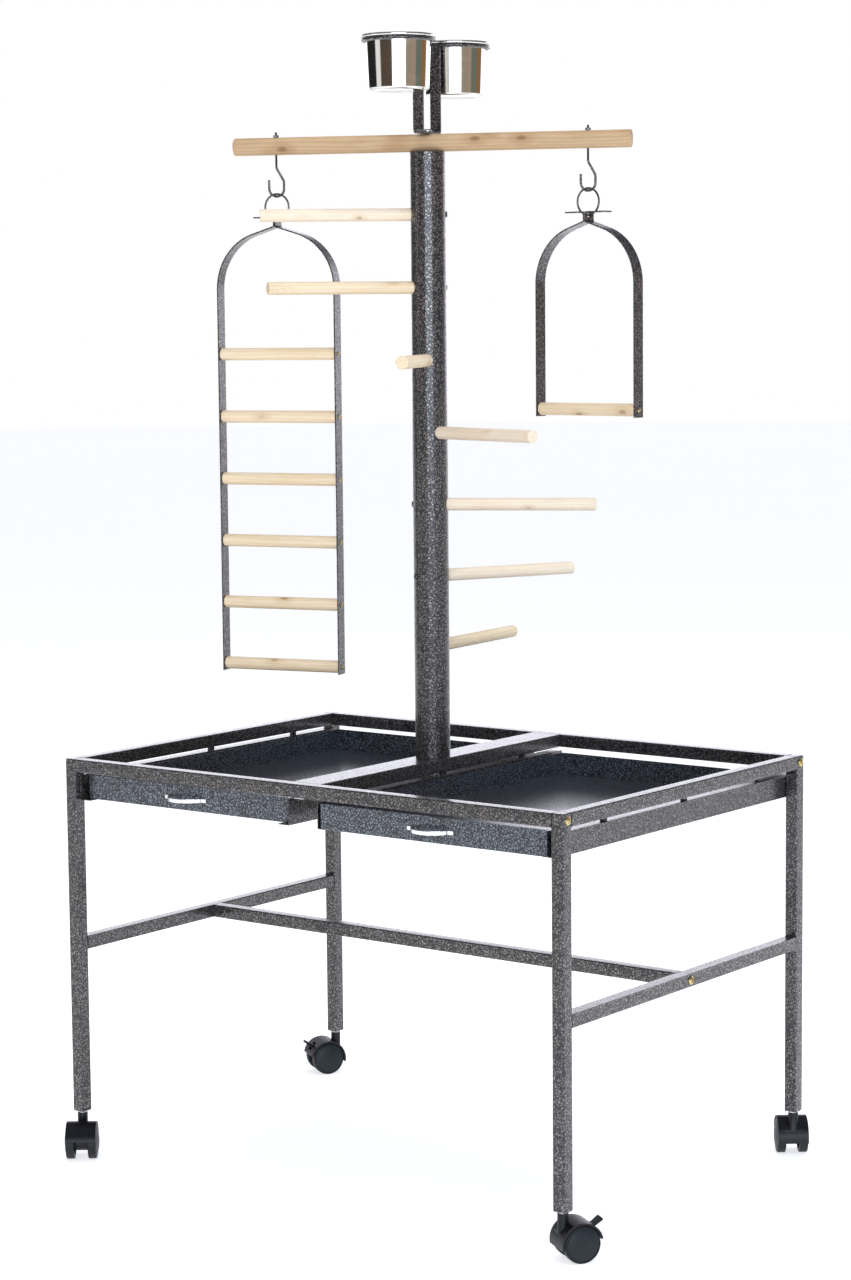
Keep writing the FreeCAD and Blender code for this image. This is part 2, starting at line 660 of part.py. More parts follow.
def rung(width, z):
    """Dowel between two straps, bored at both ends for its screws."""
    length = width - STRAP_THICK
    bar = dowel(Vector(-length / 2, 0, z), ALONG, length, DOWEL_R)
    for side in (-1, 1):
        end = Vector(side * (length / 2 + PAST), 0, z)
        bar = bar.cut(rod(end, ALONG * -side, RUNG_SCREW_GRIP + PAST, RUNG_SCREW_R))
    return bar


def rung_screws(width, levels):
    """Screws through both straps into each rung."""
    screws = []
    for z in levels:
        for side in (-1, 1):
            inward = ALONG * -side
            face = Vector(side * (width / 2 + STRAP_THICK / 2 + HEAD_GAP), 0, z)
            head = rod(face - inward * RUNG_SCREW_HEAD_H, inward, RUNG_SCREW_HEAD_H, RUNG_SCREW_HEAD_R)
            shank = rod(face, inward, STRAP_THICK + RUNG_SCREW_GRIP - PAST, RUNG_SCREW_R)
            screws.append(fused(head, shank))
    return group(screws)


def hanging_set(name, side, turn, width, levels, rung_node):
    """Straps, rungs and screws of the ladder or the swing, by node name."""
    origin = hook_origin(side)
    low_z = min(levels) - STRAP_END
    return {
        name + "_ring": hanging_ring(side, turn),
        name + "_strap_left": placed(hanging_strap(width, low_z, -1, levels), turn, origin),
        name + "_strap_right": placed(hanging_strap(width, low_z, 1, levels), turn, origin),
        rung_node: placed(group([rung(width, z) for z in levels]), turn, origin),
        name + "_screws": placed(rung_screws(width, levels), turn, origin),
    }


# ---- castors ------------------------------------------------------------------------------
# A castor is drawn with its swivel axis at the origin, the floor at z = 0 and its trail along +X.
AXLE_POINT = Vector(CASTOR_TRAIL, 0, WHEEL_R)
HALF_WIDTH = WHEEL_GAP / 2 + WHEEL_TREAD
WEB_HALF = WHEEL_GAP / 2 - HOOD_CLEARANCE
LEVER_PIVOT_R = HOOD_R - LEVER_PIN_INSET


def across_disc(radius, half_width, centre=AXLE_POINT):
    """Disc on the wheel axis, centred between the wheels."""
    return rod(centre - ACROSS * half_width, ACROSS, 2 * half_width, radius)


def polar(radius, degrees):
    """Point around the axle in the plane of the wheels, 0 along the trail and 90 up."""
    angle = math.radians(degrees)
    return AXLE_POINT + Vector(math.cos(angle), 0, math.sin(angle)) * radius


def castor_hood(braked):
    """Moulded hood: a fender over both wheels, the middle web and the swivel neck."""
    fender = across_disc(HOOD_R, HALF_WIDTH)
    below = Part.makeBox(4 * HOOD_R, 4 * HOOD_R, 2 * HOOD_R, Vector(-2 * HOOD_R, -2 * HOOD_R, -2 * HOOD_R))
    below.Placement = Placement(AXLE_POINT, Rotation(ACROSS, -HOOD_OPEN_ANGLE))
    fender = fender.cut(below)
    web = fused(fender, across_disc(HOOD_BOSS_R, WEB_HALF))
    neck_base = HOOD_TOP - HOOD_NECK_H - HOOD_NECK_ROOT
    neck = rod(UP * neck_base, UP, HOOD_TOP - neck_base, HOOD_NECK_R)
    shape = fused(web, neck)
    for side in (-1, 1):
        inner = AXLE_POINT + ACROSS * (side * WEB_HALF)
        shape = shape.cut(rod(inner, ACROSS * side, HOOD_R * 2, WHEEL_SPACE_R))
    shape = shape.cut(across_disc(AXLE_R + PIVOT_CLEARANCE, 2 * WHEEL_GAP))
    pivot_base = HOOD_TOP - STEM_PIVOT_L - PAST
    pivot_bore = rod(UP * pivot_base, UP, HOOD_TOP + PAST - pivot_base, STEM_PIVOT_R + PIVOT_CLEARANCE)
    shape = shape.cut(pivot_bore)
    if braked:
        pivot = polar(LEVER_PIVOT_R, LEVER_ANGLE)
        half = LEVER_WIDTH / 2 + LEVER_SIDE_GAP
        notch = across_disc(LEVER_HUB_R + LEVER_NOTCH, half, pivot)
        sweep = across_disc(HOOD_R + PAST, half).cut(across_disc(WHEEL_R - HOOD_SHELL, LEVER_WIDTH))
        sweep = sweep.common(across_disc(LEVER_HUB_R + LEVER_SWEEP, LEVER_WIDTH, pivot))
        shape = shape.cut(notch).cut(sweep)
        pin_half = LEVER_WIDTH / 2 + LEVER_PIN_GRIP + LEVER_SIDE_GAP
        shape = shape.cut(across_disc(LEVER_PIN_R + PIVOT_CLEARANCE, pin_half, pivot))
    return shape.removeSplitter()


def castor_axle():
    """Steel pin that carries both wheels and turns in the hood."""
    return across_disc(AXLE_R, HALF_WIDTH - AXLE_SINK)


def dome_rise(span, rise, distance):
    """Height of a round dome above its rim, at a distance from its axis."""
    sphere = (span ** 2 + rise ** 2) / (2 * rise)
    return math.sqrt(sphere ** 2 - distance ** 2) - sphere + rise


def castor_wheels():
    """Two domed wheels pressed on one axle."""
    wheels = []
    rim = WHEEL_R - WHEEL_EDGE
    for side in (-1, 1):
        inner = side * WHEEL_GAP / 2
        outer = side * HALF_WIDTH
        crown = Vector(0, outer + side * WHEEL_DOME, 0)
        bulge = Vector(rim / 2, outer + side * dome_rise(rim, WHEEL_DOME, rim / 2), 0)
        corners = [Vector(0, inner, 0), Vector(rim, inner, 0), Vector(WHEEL_R, inner + side * WHEEL_EDGE, 0),
                   Vector(WHEEL_R, outer - side * WHEEL_EDGE, 0), Vector(rim, outer, 0)]
        edges = [Part.LineSegment(a, b).toShape() for a, b in zip(corners, corners[1:])]
        edges.append(Part.Arc(corners[-1], bulge, crown).toShape())
        edges.append(Part.LineSegment(crown, corners[0]).toShape())
        wheel = Part.Face(Part.Wire(edges)).revolve(Vector(0, 0, 0), ACROSS, 360)
        wheel.translate(AXLE_POINT)
        bore = rod(AXLE_POINT, ACROSS * side, HALF_WIDTH - AXLE_SINK, AXLE_R)
        wheels.append(wheel.cut(bore))
    return group(wheels)


def castor_stem():
    """Stem with its bright ring: the upper part sits in the leg, the lower part is the swivel pin."""
    upper = rod(UP * LEG_BASE, UP, STEM_L, STEM_R)
    ring = rod(UP * STEM_RING_Z, UP, STEM_RING_H, STEM_RING_R)
    pin_base = HOOD_TOP - STEM_PIVOT_L
    pin = rod(UP * pin_base, UP, STEM_RING_Z - pin_base, STEM_PIVOT_R)
    return fused(upper, ring, pin)


def brake_lever():
    """Foot lever on a cross pin in the hood, its tab standing outwards."""
    pivot = polar(LEVER_PIVOT_R, LEVER_ANGLE)
    half = LEVER_WIDTH / 2
    hub = across_disc(LEVER_HUB_R, half, pivot)
    tab = Part.makeBox(LEVER_REACH, LEVER_WIDTH, LEVER_THICK, Vector(0, -half, -LEVER_THICK / 2))
    end = [edge for edge in tab.Edges if edge.CenterOfMass.x > LEVER_REACH - SAME_POINT]
    tab = tab.makeFillet(LEVER_EDGE, end)
    tab.Placement = Placement(pivot, Rotation(ACROSS, LEVER_LIFT - LEVER_ANGLE))
    pin = across_disc(LEVER_PIN_R, half + LEVER_PIN_GRIP, pivot)
    return fused(hub, tab, pin)


def castor_nodes():
    """All castor nodes, each castor turned to its own heading."""
    nodes = {}
    stems = []
    for corner, turn in CASTOR_HEADINGS.items():
        side_x, side_y = corner_sign(corner)
        foot = Vector(side_x * LEG_X, side_y * LEG_Y, 0)
        braked = corner in BRAKED_CASTORS
        stems.append(placed(castor_stem(), turn, foot))
        nodes["castor_hood_" + corner] = placed(castor_hood(braked), turn, foot)
        nodes["castor_axle_" + corner] = placed(castor_axle(), turn, foot)
        nodes["castor_wheels_" + corner] = placed(castor_wheels(), turn, foot)
        if braked:
            nodes["brake_lever_" + corner] = placed(brake_lever(), turn, foot)
    nodes["castor_stems"] = group(stems)
    return nodes


# ---- the whole stand ----------------------------------------------------------------------
def build():
    """Every node of the stand by name."""
    nodes = {"leg_" + corner: leg(corner) for corner in CASTOR_HEADINGS}
    for label, side in (("left", -1), ("right", 1)):
        nodes["side_rail_" + label] = side_rail(side)
        nodes["lower_rail_" + label] = lower_rail(side)
        nodes["tray_" + label] = tray(side)
        nodes["tray_handle_" + label] = handle(side)
        nodes["hook_" + label] = hook(side)
    nodes["front_rail"] = long_rail(-LEG_Y, RAIL_Z)
    nodes["rear_rail"] = long_rail(LEG_Y, RAIL_Z)
    nodes["stretcher"] = long_rail(0, LOWER_RAIL_Z)
    nodes["centre_beam"] = centre_beam()
    nodes["frame_bolts"] = frame_bolts()
    nodes["tray_runners"] = tray_runners()
    nodes["post"] = post()
    for number, (z, turn) in enumerate(spiral_levels(), 1):
        nodes["spiral_perch_%d" % number] = spiral_perch(z, turn)
    nodes["perch_screws"] = perch_screws()
    nodes["cross_perch"] = cross_perch()
    nodes["post_bolts"] = post_bolts()
    nodes["cup_bracket"] = cup_bracket()
    nodes["cup_front"] = cup(-1)
    nodes["cup_rear"] = cup(1)
    nodes["hook_nuts"] = hook_nuts()
    rungs = [LADDER_TOP_RUNG_Z - step * LADDER_RUNG_PITCH for step in range(LADDER_RUNGS)]
    nodes.update(hanging_set("ladder", -1, LADDER_TURN, LADDER_WIDTH, rungs, "ladder_rungs"))
    nodes.update(hanging_set("swing", 1, SWING_TURN, SWING_WIDTH, [SWING_PERCH_Z], "swing_perch"))
    nodes.update(castor_nodes())
    return nodes


os.makedirs("parts", exist_ok=True)
for node_name, node_shape in build().items():
    export(node_name, node_shape)
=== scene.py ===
"""Looks of a parrot play stand on castors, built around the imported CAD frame.

Metres, in the frame's own axes: +X along the table, +Y to its back and +Z up. Lengths named in
millimetres carry the factor MM.
"""

import json
import math

import bmesh
import bpy
from mathutils import Matrix, Vector, noise


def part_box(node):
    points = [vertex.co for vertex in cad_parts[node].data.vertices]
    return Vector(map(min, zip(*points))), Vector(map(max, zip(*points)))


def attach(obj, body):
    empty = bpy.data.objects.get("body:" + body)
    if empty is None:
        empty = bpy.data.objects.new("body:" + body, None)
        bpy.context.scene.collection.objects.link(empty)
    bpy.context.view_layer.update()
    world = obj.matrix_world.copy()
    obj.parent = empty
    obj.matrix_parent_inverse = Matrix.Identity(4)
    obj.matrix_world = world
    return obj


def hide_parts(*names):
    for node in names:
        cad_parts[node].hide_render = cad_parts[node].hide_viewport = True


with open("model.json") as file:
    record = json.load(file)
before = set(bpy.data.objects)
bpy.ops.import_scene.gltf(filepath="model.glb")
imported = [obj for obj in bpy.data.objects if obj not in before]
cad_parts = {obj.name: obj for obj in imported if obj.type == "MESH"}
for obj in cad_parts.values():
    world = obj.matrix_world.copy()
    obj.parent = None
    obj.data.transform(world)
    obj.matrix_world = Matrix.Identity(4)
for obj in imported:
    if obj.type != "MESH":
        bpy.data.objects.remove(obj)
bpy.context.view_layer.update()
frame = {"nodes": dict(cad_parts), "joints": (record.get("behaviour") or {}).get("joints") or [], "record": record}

MM = 0.001
UP = Vector((0, 0, 1))
SIDES = ("left", "right")
CORNERS = ("front_left", "front_right", "rear_left", "rear_right")
BRAKED = ("front_right", "rear_left")
SPIRAL_PERCHES = 7
LADDER_RUNGS = 6
NODES = frame["nodes"]
JOINTS = {joint["name"]: joint for joint in frame["joints"]}
RECORD = frame["record"]
BODY_OF = {node: body for body, members in RECORD["behaviour"]["bodies"].items() for node in members}


# ---- shading ------------------------------------------------------------------------------
class Wire:
    """One socket of a node tree. Arithmetic on wires adds Math nodes."""

    def __init__(self, nodes, socket):
        self.nodes = nodes
        self.socket = socket

    def math(self, operation, first, second):
        return self.nodes.add("ShaderNodeMath", {"operation": operation}, {0: first, 1: second})

    def __add__(self, other):
        return self.math("ADD", self, other)

    def __radd__(self, other):
        return self.math("ADD", other, self)

    def __sub__(self, other):
        return self.math("SUBTRACT", self, other)

    def __rsub__(self, other):
        return self.math("SUBTRACT", other, self)

    def __mul__(self, other):
        return self.math("MULTIPLY", self, other)

    def __rmul__(self, other):
        return self.math("MULTIPLY", other, self)


class Nodes:
    """A node tree with one way to add a node."""

    def __init__(self, tree):
        self.tree = tree

    def feed(self, socket, value):
        if isinstance(value, Wire):
            self.tree.links.new(value.socket, socket)
        else:
            socket.default_value = value

    def add(self, kind, settings=None, inputs=None, output=0):
        """New node: its settings first, then the values or wires of its sockets."""
        node = self.tree.nodes.new(kind)
        for key, value in (settings or {}).items():
            if key == "stops":
                self.set_stops(node.color_ramp.elements, value)
            else:
                setattr(node, key, value)
        for key, value in (inputs or {}).items():
            self.feed(node.inputs[key], value)
        return Wire(self, node.outputs[output])

    @staticmethod
    def set_stops(elements, stops):
        while len(elements) < len(stops):
            elements.new(1.0)
        for element, (position, colour) in zip(elements, stops):
            element.position = position
            element.color = (*colour, 1.0)

    def ramp(self, value, stops):
        """Colour that follows a value through a few stops."""
        return self.add("ShaderNodeValToRGB", {"stops": stops}, {"Fac": value})

    def step(self, value, low, high, from_value=0.0, to_value=1.0):
        """Smooth rise from one value to another as the input goes from low to high."""
        inputs = {"Value": value, "From Min": low, "From Max": high}
        inputs.update({"To Min": from_value, "To Max": to_value})
        return self.add("ShaderNodeMapRange", {"interpolation_type": "SMOOTHSTEP"}, inputs)

    def mix(self, share, first, second):
        """Colour mixed by a share."""
        settings = {"data_type": "RGBA", "blend_type": "MIX"}
        return self.add("ShaderNodeMix", settings, {0: share, 6: first, 7: second}, output=2)

    def noise(self, place, scale, detail=2.0, output=0):
        inputs = {"Vector": place, "Scale": scale, "Detail": detail}
        return self.add("ShaderNodeTexNoise", None, inputs, output)

    def cells(self, place, scale, feature="F1", output=0):
        """Random cells; the first output is the distance."""
        inputs = {"Vector": place, "Scale": scale}
        return self.add("ShaderNodeTexVoronoi", {"feature": feature}, inputs, output)


def rgb(red, green, blue):
    """Colour for a socket."""
    return (red, green, blue, 1.0)


class Finish(Nodes):
    """A material: constants go straight on the shader, patterns are wires."""

    def __init__(self, name, **constants):
        self.material = bpy.data.materials.new(name)
        self.material.use_nodes = True
        super().__init__(self.material.node_tree)
        self.shader = self.tree.nodes["Principled BSDF"]
        for key, value in constants.items():
            self.set(key.replace("_", " ").title().replace("Ior", "IOR"), value)

    def set(self, socket, value):
        self.feed(self.shader.inputs[socket], value)

    def place(self, centre=None, turn=None):
        """Position on the piece, measured from a centre and along turned axes when they are given."""
        here = self.add("ShaderNodeTexCoord", output="Object")
        if centre is None:
            return here
        inputs = {"Vector": here, "Location": centre, "Rotation": turn or (0, 0, 0)}
        return self.add("ShaderNodeMapping", {"vector_type": "TEXTURE"}, inputs)

    def stretched(self, place, factors):
        """Position with each axis scaled by its own factor."""
        return self.add("ShaderNodeVectorMath", {"operation": "MULTIPLY"}, {0: place, 1: factors})

    def swayed(self, place, drift, reach):
        """Position pushed about by a drifting colour, by up to a reach on each axis."""
        return self.add("ShaderNodeVectorMath", {"operation": "MULTIPLY_ADD"}, {0: drift, 1: reach, 2: place})

    def bump(self, height, depth):
        """Relief with a depth in metres."""
        inputs = {"Height": height, "Distance": depth, "Strength": 1.0}
        self.set("Normal", self.add("ShaderNodeBump", None, inputs))


# Patterns are given in repeats per metre, relief in metres
FLECK_SCALE, POOL_SCALE, DRIFT_SCALE, PATCH_SCALE = 230.0, 480.0, 210.0, 26.0
FLECK_DRIFT = 4.2 * MM
FLECK_RELIEF = 0.18 * MM


def hammered_paint(name, dark, silver, fleck_share):
    """Hammered powder coat: raised silver flecks in a dark, glossy ground."""
    finish = Finish(name, coat_roughness=0.16, coat_ior=1.5)
    place = finish.place()
    drift = finish.noise(place, DRIFT_SCALE, 2.0, output=1)
    bent = finish.swayed(place, drift, (FLECK_DRIFT,) * 3)
    valley = finish.cells(bent, FLECK_SCALE, "DISTANCE_TO_EDGE")
    pool = finish.noise(place, POOL_SCALE, 1.0)
    raised = finish.step(valley + 0.30 * (pool - 0.5), 0.09, 0.22)
    patch = finish.step(finish.noise(place, PATCH_SCALE, 3.0), 0.3, 0.7, 0.82, 1.0)
    fleck = raised * finish.step(pool, 0.58 - fleck_share, 0.80 - fleck_share, 0.25, 1.0) * patch
    finish.set("Base Color", finish.mix(fleck, dark, silver))
    finish.set("Metallic", 0.30 + 0.70 * fleck)
    finish.set("Roughness", 0.42 - 0.10 * fleck)
    finish.set("Coat Weight", 0.60 + 0.30 * raised)
    finish.bump(raised + 0.3 * pool, FLECK_RELIEF)
    return finish.material


RING_SCALE = 62.0
RING_SWAY = (10 * MM, 10 * MM, 0)
SWAY_SCALES, FIBRE_SCALES = (22.0, 22.0, 5.0), (1500.0, 1500.0, 26.0)
CLOUD_SCALES, KNOT_SCALES = (40.0, 40.0, 11.0), (30.0, 30.0, 15.0)
GRAIN_RELIEF = 0.12 * MM


def grain_wood(name, origin, turn, tones, knot_size, ring_shift):
    """Bare turned wood. Local Z runs along the dowel, and the heart of the tree lies beside it."""
    pale, band, knot_tone, line = tones
    finish = Finish(name, specular_ior_level=0.35)
    place = finish.place(origin, turn)
    sway = finish.noise(finish.stretched(place, SWAY_SCALES), 1.0, 2.0, output=1)
    swayed = finish.swayed(place, sway, RING_SWAY)
    beside = finish.add("ShaderNodeVectorMath", {"operation": "ADD"}, {0: swayed, 1: ring_shift})
    ring_settings = {"wave_type": "RINGS", "rings_direction": "Z", "wave_profile": "SAW"}
    ring_inputs = {"Vector": beside, "Scale": RING_SCALE, "Distortion": 0.5}
    ring_inputs.update({"Detail": 2.0, "Detail Scale": 30.0})
    rings = finish.add("ShaderNodeTexWave", ring_settings, ring_inputs)
    late_wood = finish.step(rings, 0.45, 0.98)
    fibre = finish.noise(finish.stretched(place, FIBRE_SCALES), 1.0, 2.0)
    cloud = finish.noise(finish.stretched(place, CLOUD_SCALES), 1.0, 3.0)
    knot = finish.cells(finish.stretched(place, KNOT_SCALES), 1.0)
    knot_core = finish.step(knot, knot_size * 0.35, knot_size, 1.0, 0.0)
    knot_halo = finish.step(knot, knot_size, knot_size * 2.6, 1.0, 0.0)
    base = finish.mix(late_wood * 0.55, pale, band)
    base = finish.mix(finish.step(cloud, 0.42, 0.68) * 0.5, base, band)
    base = finish.mix(finish.step(fibre, 0.56, 0.74) * 0.28, base, line)
    base = finish.mix(knot_halo * 0.35, base, line)
    base = finish.mix(knot_core * 0.7, base, knot_tone)
    finish.set("Base Color", base)
    finish.set("Roughness", 0.62 + 0.14 * fibre)
    finish.bump(fibre * 0.8 + late_wood * 0.5 - knot_core * 0.6, GRAIN_RELIEF)
    return finish.material


def chrome(name, tint, roughness):
    """Bright plating with the faint marks of polishing and handling."""
    finish = Finish(name, metallic=1.0, base_color=tint)
    place = finish.place()
    smear = finish.noise(finish.stretched(place, (34.0, 34.0, 60.0)), 1.0, 3.0)
    hair = finish.noise(finish.stretched(place, (300.0, 300.0, 5200.0)), 1.0, 1.0)
    finish.set("Roughness", roughness + 0.05 * finish.step(smear, 0.5, 0.75) + 0.012 * hair)
    finish.bump(hair, 0.004 * MM)
    return finish.material


def plated(name, bright, dull, roughness):
    """Plated steel fastener or wire with cloudy tarnish."""
    finish = Finish(name, metallic=1.0)
    place = finish.place()
    cloud = finish.noise(place, 420.0, 3.0)
    speck = finish.noise(place, 2600.0, 2.0)
    finish.set("Base Color", finish.mix(finish.step(cloud, 0.35, 0.68), bright, dull))
    finish.set("Roughness", roughness + 0.16 * finish.step(cloud, 0.4, 0.7) + 0.05 * speck)
    finish.bump(speck, 0.03 * MM)
    return finish.material


def moulded_plastic(name, tone, edge_tone, roughness):
    """Satin moulded plastic with a fine spark texture and faint scuffs."""
    finish = Finish(name, specular_ior_level=0.32)
    place = finish.place()
    grain = finish.noise(place, 2400.0, 2.0)
    cloud = finish.noise(place, 75.0, 3.0)
    scuff = finish.step(finish.noise(finish.stretched(place, (160.0, 620.0, 160.0)), 1.0, 4.0), 0.60, 0.74)
    finish.set("Base Color", finish.mix(finish.step(cloud, 0.3, 0.7) * 0.5 + scuff * 0.5, tone, edge_tone))
    finish.set("Roughness", roughness + 0.10 * grain + 0.10 * scuff)
    finish.bump(grain, 0.04 * MM)
    return finish.material


def floor_finish():
    """Plain white studio floor, lit evenly."""
    finish = Finish("studio_floor", specular_ior_level=0.1, roughness=0.9, emission_color=rgb(1, 1, 1),
                    emission_strength=0.62)
    cloud = finish.noise(finish.place(), 0.6, 2.0)
    finish.set("Base Color", finish.mix(cloud, rgb(0.90, 0.90, 0.91), rgb(0.93, 0.93, 0.93)))
    return finish.material


FRAME_PAINT = hammered_paint("hammered_paint", rgb(0.007, 0.006, 0.007), rgb(0.29, 0.255, 0.245), 0.14)
TRAY_PAINT = hammered_paint("tray_hammered_paint", rgb(0.010, 0.012, 0.017), rgb(0.30, 0.33, 0.39), 0.15)
CUP_STEEL = chrome("polished_steel", rgb(0.80, 0.78, 0.74), 0.07)
PULL_CHROME = chrome("bright_chrome", rgb(0.84, 0.84, 0.85), 0.07)
DARK_WIRE = plated("dull_zinc_wire", rgb(0.20, 0.20, 0.20), rgb(0.06, 0.06, 0.06), 0.30)
YELLOW_ZINC = plated("yellow_zinc", rgb(0.74, 0.60, 0.30), rgb(0.46, 0.36, 0.18), 0.26)
BRIGHT_ZINC = plated("bright_zinc", rgb(0.80, 0.80, 0.80), rgb(0.55, 0.55, 0.56), 0.22)
CASTOR_BLACK = moulded_plastic("castor_nylon", rgb(0.003, 0.003, 0.005), rgb(0.008, 0.008, 0.010), 0.36)
CASTOR_DISC = moulded_plastic("castor_disc_nylon", rgb(0.004, 0.008, 0.012), rgb(0.008, 0.014, 0.019), 0.40)
TREAD_NYLON = moulded_plastic("castor_tread_nylon", rgb(0.006, 0.006, 0.007), rgb(0.015, 0.015, 0.016), 0.5)

PALE_TONES = (rgb(0.79, 0.64, 0.45), rgb(0.69, 0.51, 0.31), rgb(0.32, 0.17, 0.08), rgb(0.53, 0.35, 0.19))
CREAM_TONES = (rgb(0.82, 0.69, 0.54), rgb(0.73, 0.58, 0.42), rgb(0.40, 0.25, 0.13), rgb(0.58, 0.43, 0.27))
TAN_TONES = (rgb(0.52, 0.355, 0.205), rgb(0.37, 0.235, 0.125), rgb(0.19, 0.09, 0.035),
             rgb(0.30, 0.16, 0.065))


# ---- shapes -------------------------------------------------------------------------------
SAME_POINT = 0.001 * MM


def extent(node, direction):
    """Lowest and highest reach of a CAD node along a direction."""
    reaches = [vertex.co.dot(direction) for vertex in NODES[node].data.vertices]
    return min(reaches), max(reaches)


def middle(node):
    """Centre of a CAD node's box."""
    low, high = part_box(node)
    return (low + high) / 2


def frame_at(origin, axis, side=None):
    """Placement with its local Z along axis and, if given, its local X towards side."""
    z = Vector(axis).normalized()
    x = Vector(side) if side is not None else z.orthogonal()
    x = (x - z * x.dot(z)).normalized()
    turn = Matrix((x, z.cross(x), z)).transposed().to_4x4()
    return Matrix.Translation(origin) @ turn


def finished(name, mesh_data, body, material, stands_for=(), sharp=35):
    """Makes a mesh a piece that rides on a body."""
    mesh = bpy.data.meshes.new(name)
    mesh_data.to_mesh(mesh)
    mesh_data.free()
    for face in mesh.polygons:
        face.use_smooth = True
    mesh.set_sharp_from_angle(angle=math.radians(sharp))
    for one in material if isinstance(material, (list, tuple)) else [material]:
        mesh.materials.append(one)
    piece = bpy.data.objects.new(name, mesh)
    bpy.context.scene.collection.objects.link(piece)
    weights = piece.modifiers.new("even_normals", "WEIGHTED_NORMAL")
    weights.keep_sharp = True
    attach(piece, body)
    if stands_for:
        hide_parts(*stands_for)
    return piece


def for_node(node, mesh_data, material, suffix="_piece", sharp=35):
    """A piece that stands for one CAD node, with its body and slot."""
    return finished(node + suffix, mesh_data, BODY_OF[node], material, [node], sharp)


def join(target, part, place=Matrix.Identity(4)):
    """Adds a part's mesh to a larger one and frees the part."""
    part.transform(place)
    holder = bpy.data.meshes.new("holder")
    part.to_mesh(holder)
    part.free()
    target.from_mesh(holder)
    bpy.data.meshes.remove(holder)


def merged_copy(node):
    """A CAD node's mesh with its triangles merged into whole faces."""
    copy = bmesh.new()
    copy.from_mesh(NODES[node].data)
    bmesh.ops.remove_doubles(copy, verts=copy.verts, dist=SAME_POINT)
    bmesh.ops.dissolve_limit(copy, angle_limit=math.radians(0.6), verts=copy.verts, edges=copy.edges)
    return copy


def rounded(mesh_data, edges, radius, segments):
    """Rounds the given edges."""
    bmesh.ops.bevel(mesh_data, geom=edges, offset=radius, offset_type="OFFSET", segments=segments,
                    profile=0.5, affect="EDGES", clamp_overlap=True, material=-1)


def sharp_edges(mesh_data, shortest, axis=None, least_turn=40):
    """Edges of a solid that stand out: long enough, and along an axis if one is given."""
    chosen = []
    for edge in mesh_data.edges:
        if len(edge.link_faces) != 2 or edge.calc_length() < shortest:
            continue
        if edge.calc_face_angle() < math.radians(least_turn):
            continue
        along = (edge.verts[1].co - edge.verts[0].co).normalized()
        if axis is None or abs(along.dot(axis)) > 0.999:
            chosen.append(edge)
    return chosen


def softened(node, material, radius, segments=2, shortest=3 * MM, axis=None):
    """Finer copy of a CAD node with its long edges rounded."""
    copy = merged_copy(node)
    rounded(copy, sharp_edges(copy, shortest, axis), radius, segments)
    return for_node(node, copy, material, "_rounded")


def spun(shape, outline, steps):
    """Spins an outline a full turn about local Z and closes the seam."""
    bmesh.ops.spin(shape, geom=outline, cent=(0, 0, 0), axis=(0, 0, 1), dvec=(0, 0, 0),
                   angle=math.tau, steps=steps, use_merge=True, use_duplicate=False)
    bmesh.ops.remove_doubles(shape, verts=shape.verts, dist=SAME_POINT)
    bmesh.ops.recalc_face_normals(shape, faces=shape.faces)
    return shape


def turned(profile, steps):
    """Solid of revolution about local Z from a profile of (radius, height) points."""
    shape = bmesh.new()
    points = [shape.verts.new((radius, 0, height)) for radius, height in profile]
    edges = [shape.edges.new(pair) for pair in zip(points, points[1:])]
    return spun(shape, points + edges, steps)


def arc(centre, radius, start, end, count):
    """Points (across, up) of an arc, angles in degrees."""
    angles = [math.radians(start + (end - start) * step / count) for step in range(count + 1)]
    across, up = centre
    return [(across + radius * math.cos(angle), up + radius * math.sin(angle)) for angle in angles]


def ring(radius, wire):
    """Round wire closed into a ring about local Z."""
    shape = bmesh.new()
    made = bmesh.ops.create_circle(shape, cap_ends=False, radius=wire, segments=20)
    upright = Matrix.Translation((radius, 0, 0)) @ Matrix.Rotation(math.pi / 2, 4, "X")
    bmesh.ops.transform(shape, matrix=upright, verts=made["verts"])
    return spun(shape, shape.verts[:] + shape.edges[:], 72)


def rounded_path(points, radii, turn_step=9):
    """Points of a bent wire: straight runs joined by arcs."""
    path = [points[0]]
    for before, corner, after, radius in zip(points, points[1:], points[2:], radii):
        inward, outward = (before - corner).normalized(), (after - corner).normalized()
        turn = math.pi - inward.angle(outward)
        reach = radius * math.tan(turn / 2)
        start = corner + inward * reach
        centre = corner + (inward + outward).normalized() * (radius / math.cos(turn / 2))
        axis = (start - centre).cross(corner - centre).normalized()
        count = max(2, round(math.degrees(turn) / turn_step))
        turns = [Matrix.Rotation(turn * step / count, 3, axis) for step in range(count + 1)]
        path.extend(centre + part_turn @ (start - centre) for part_turn in turns)
    path.append(points[-1])
    kept = [point for last, point in zip(path, path[1:]) if (point - last).length > SAME_POINT]
    return [path[0], *kept]


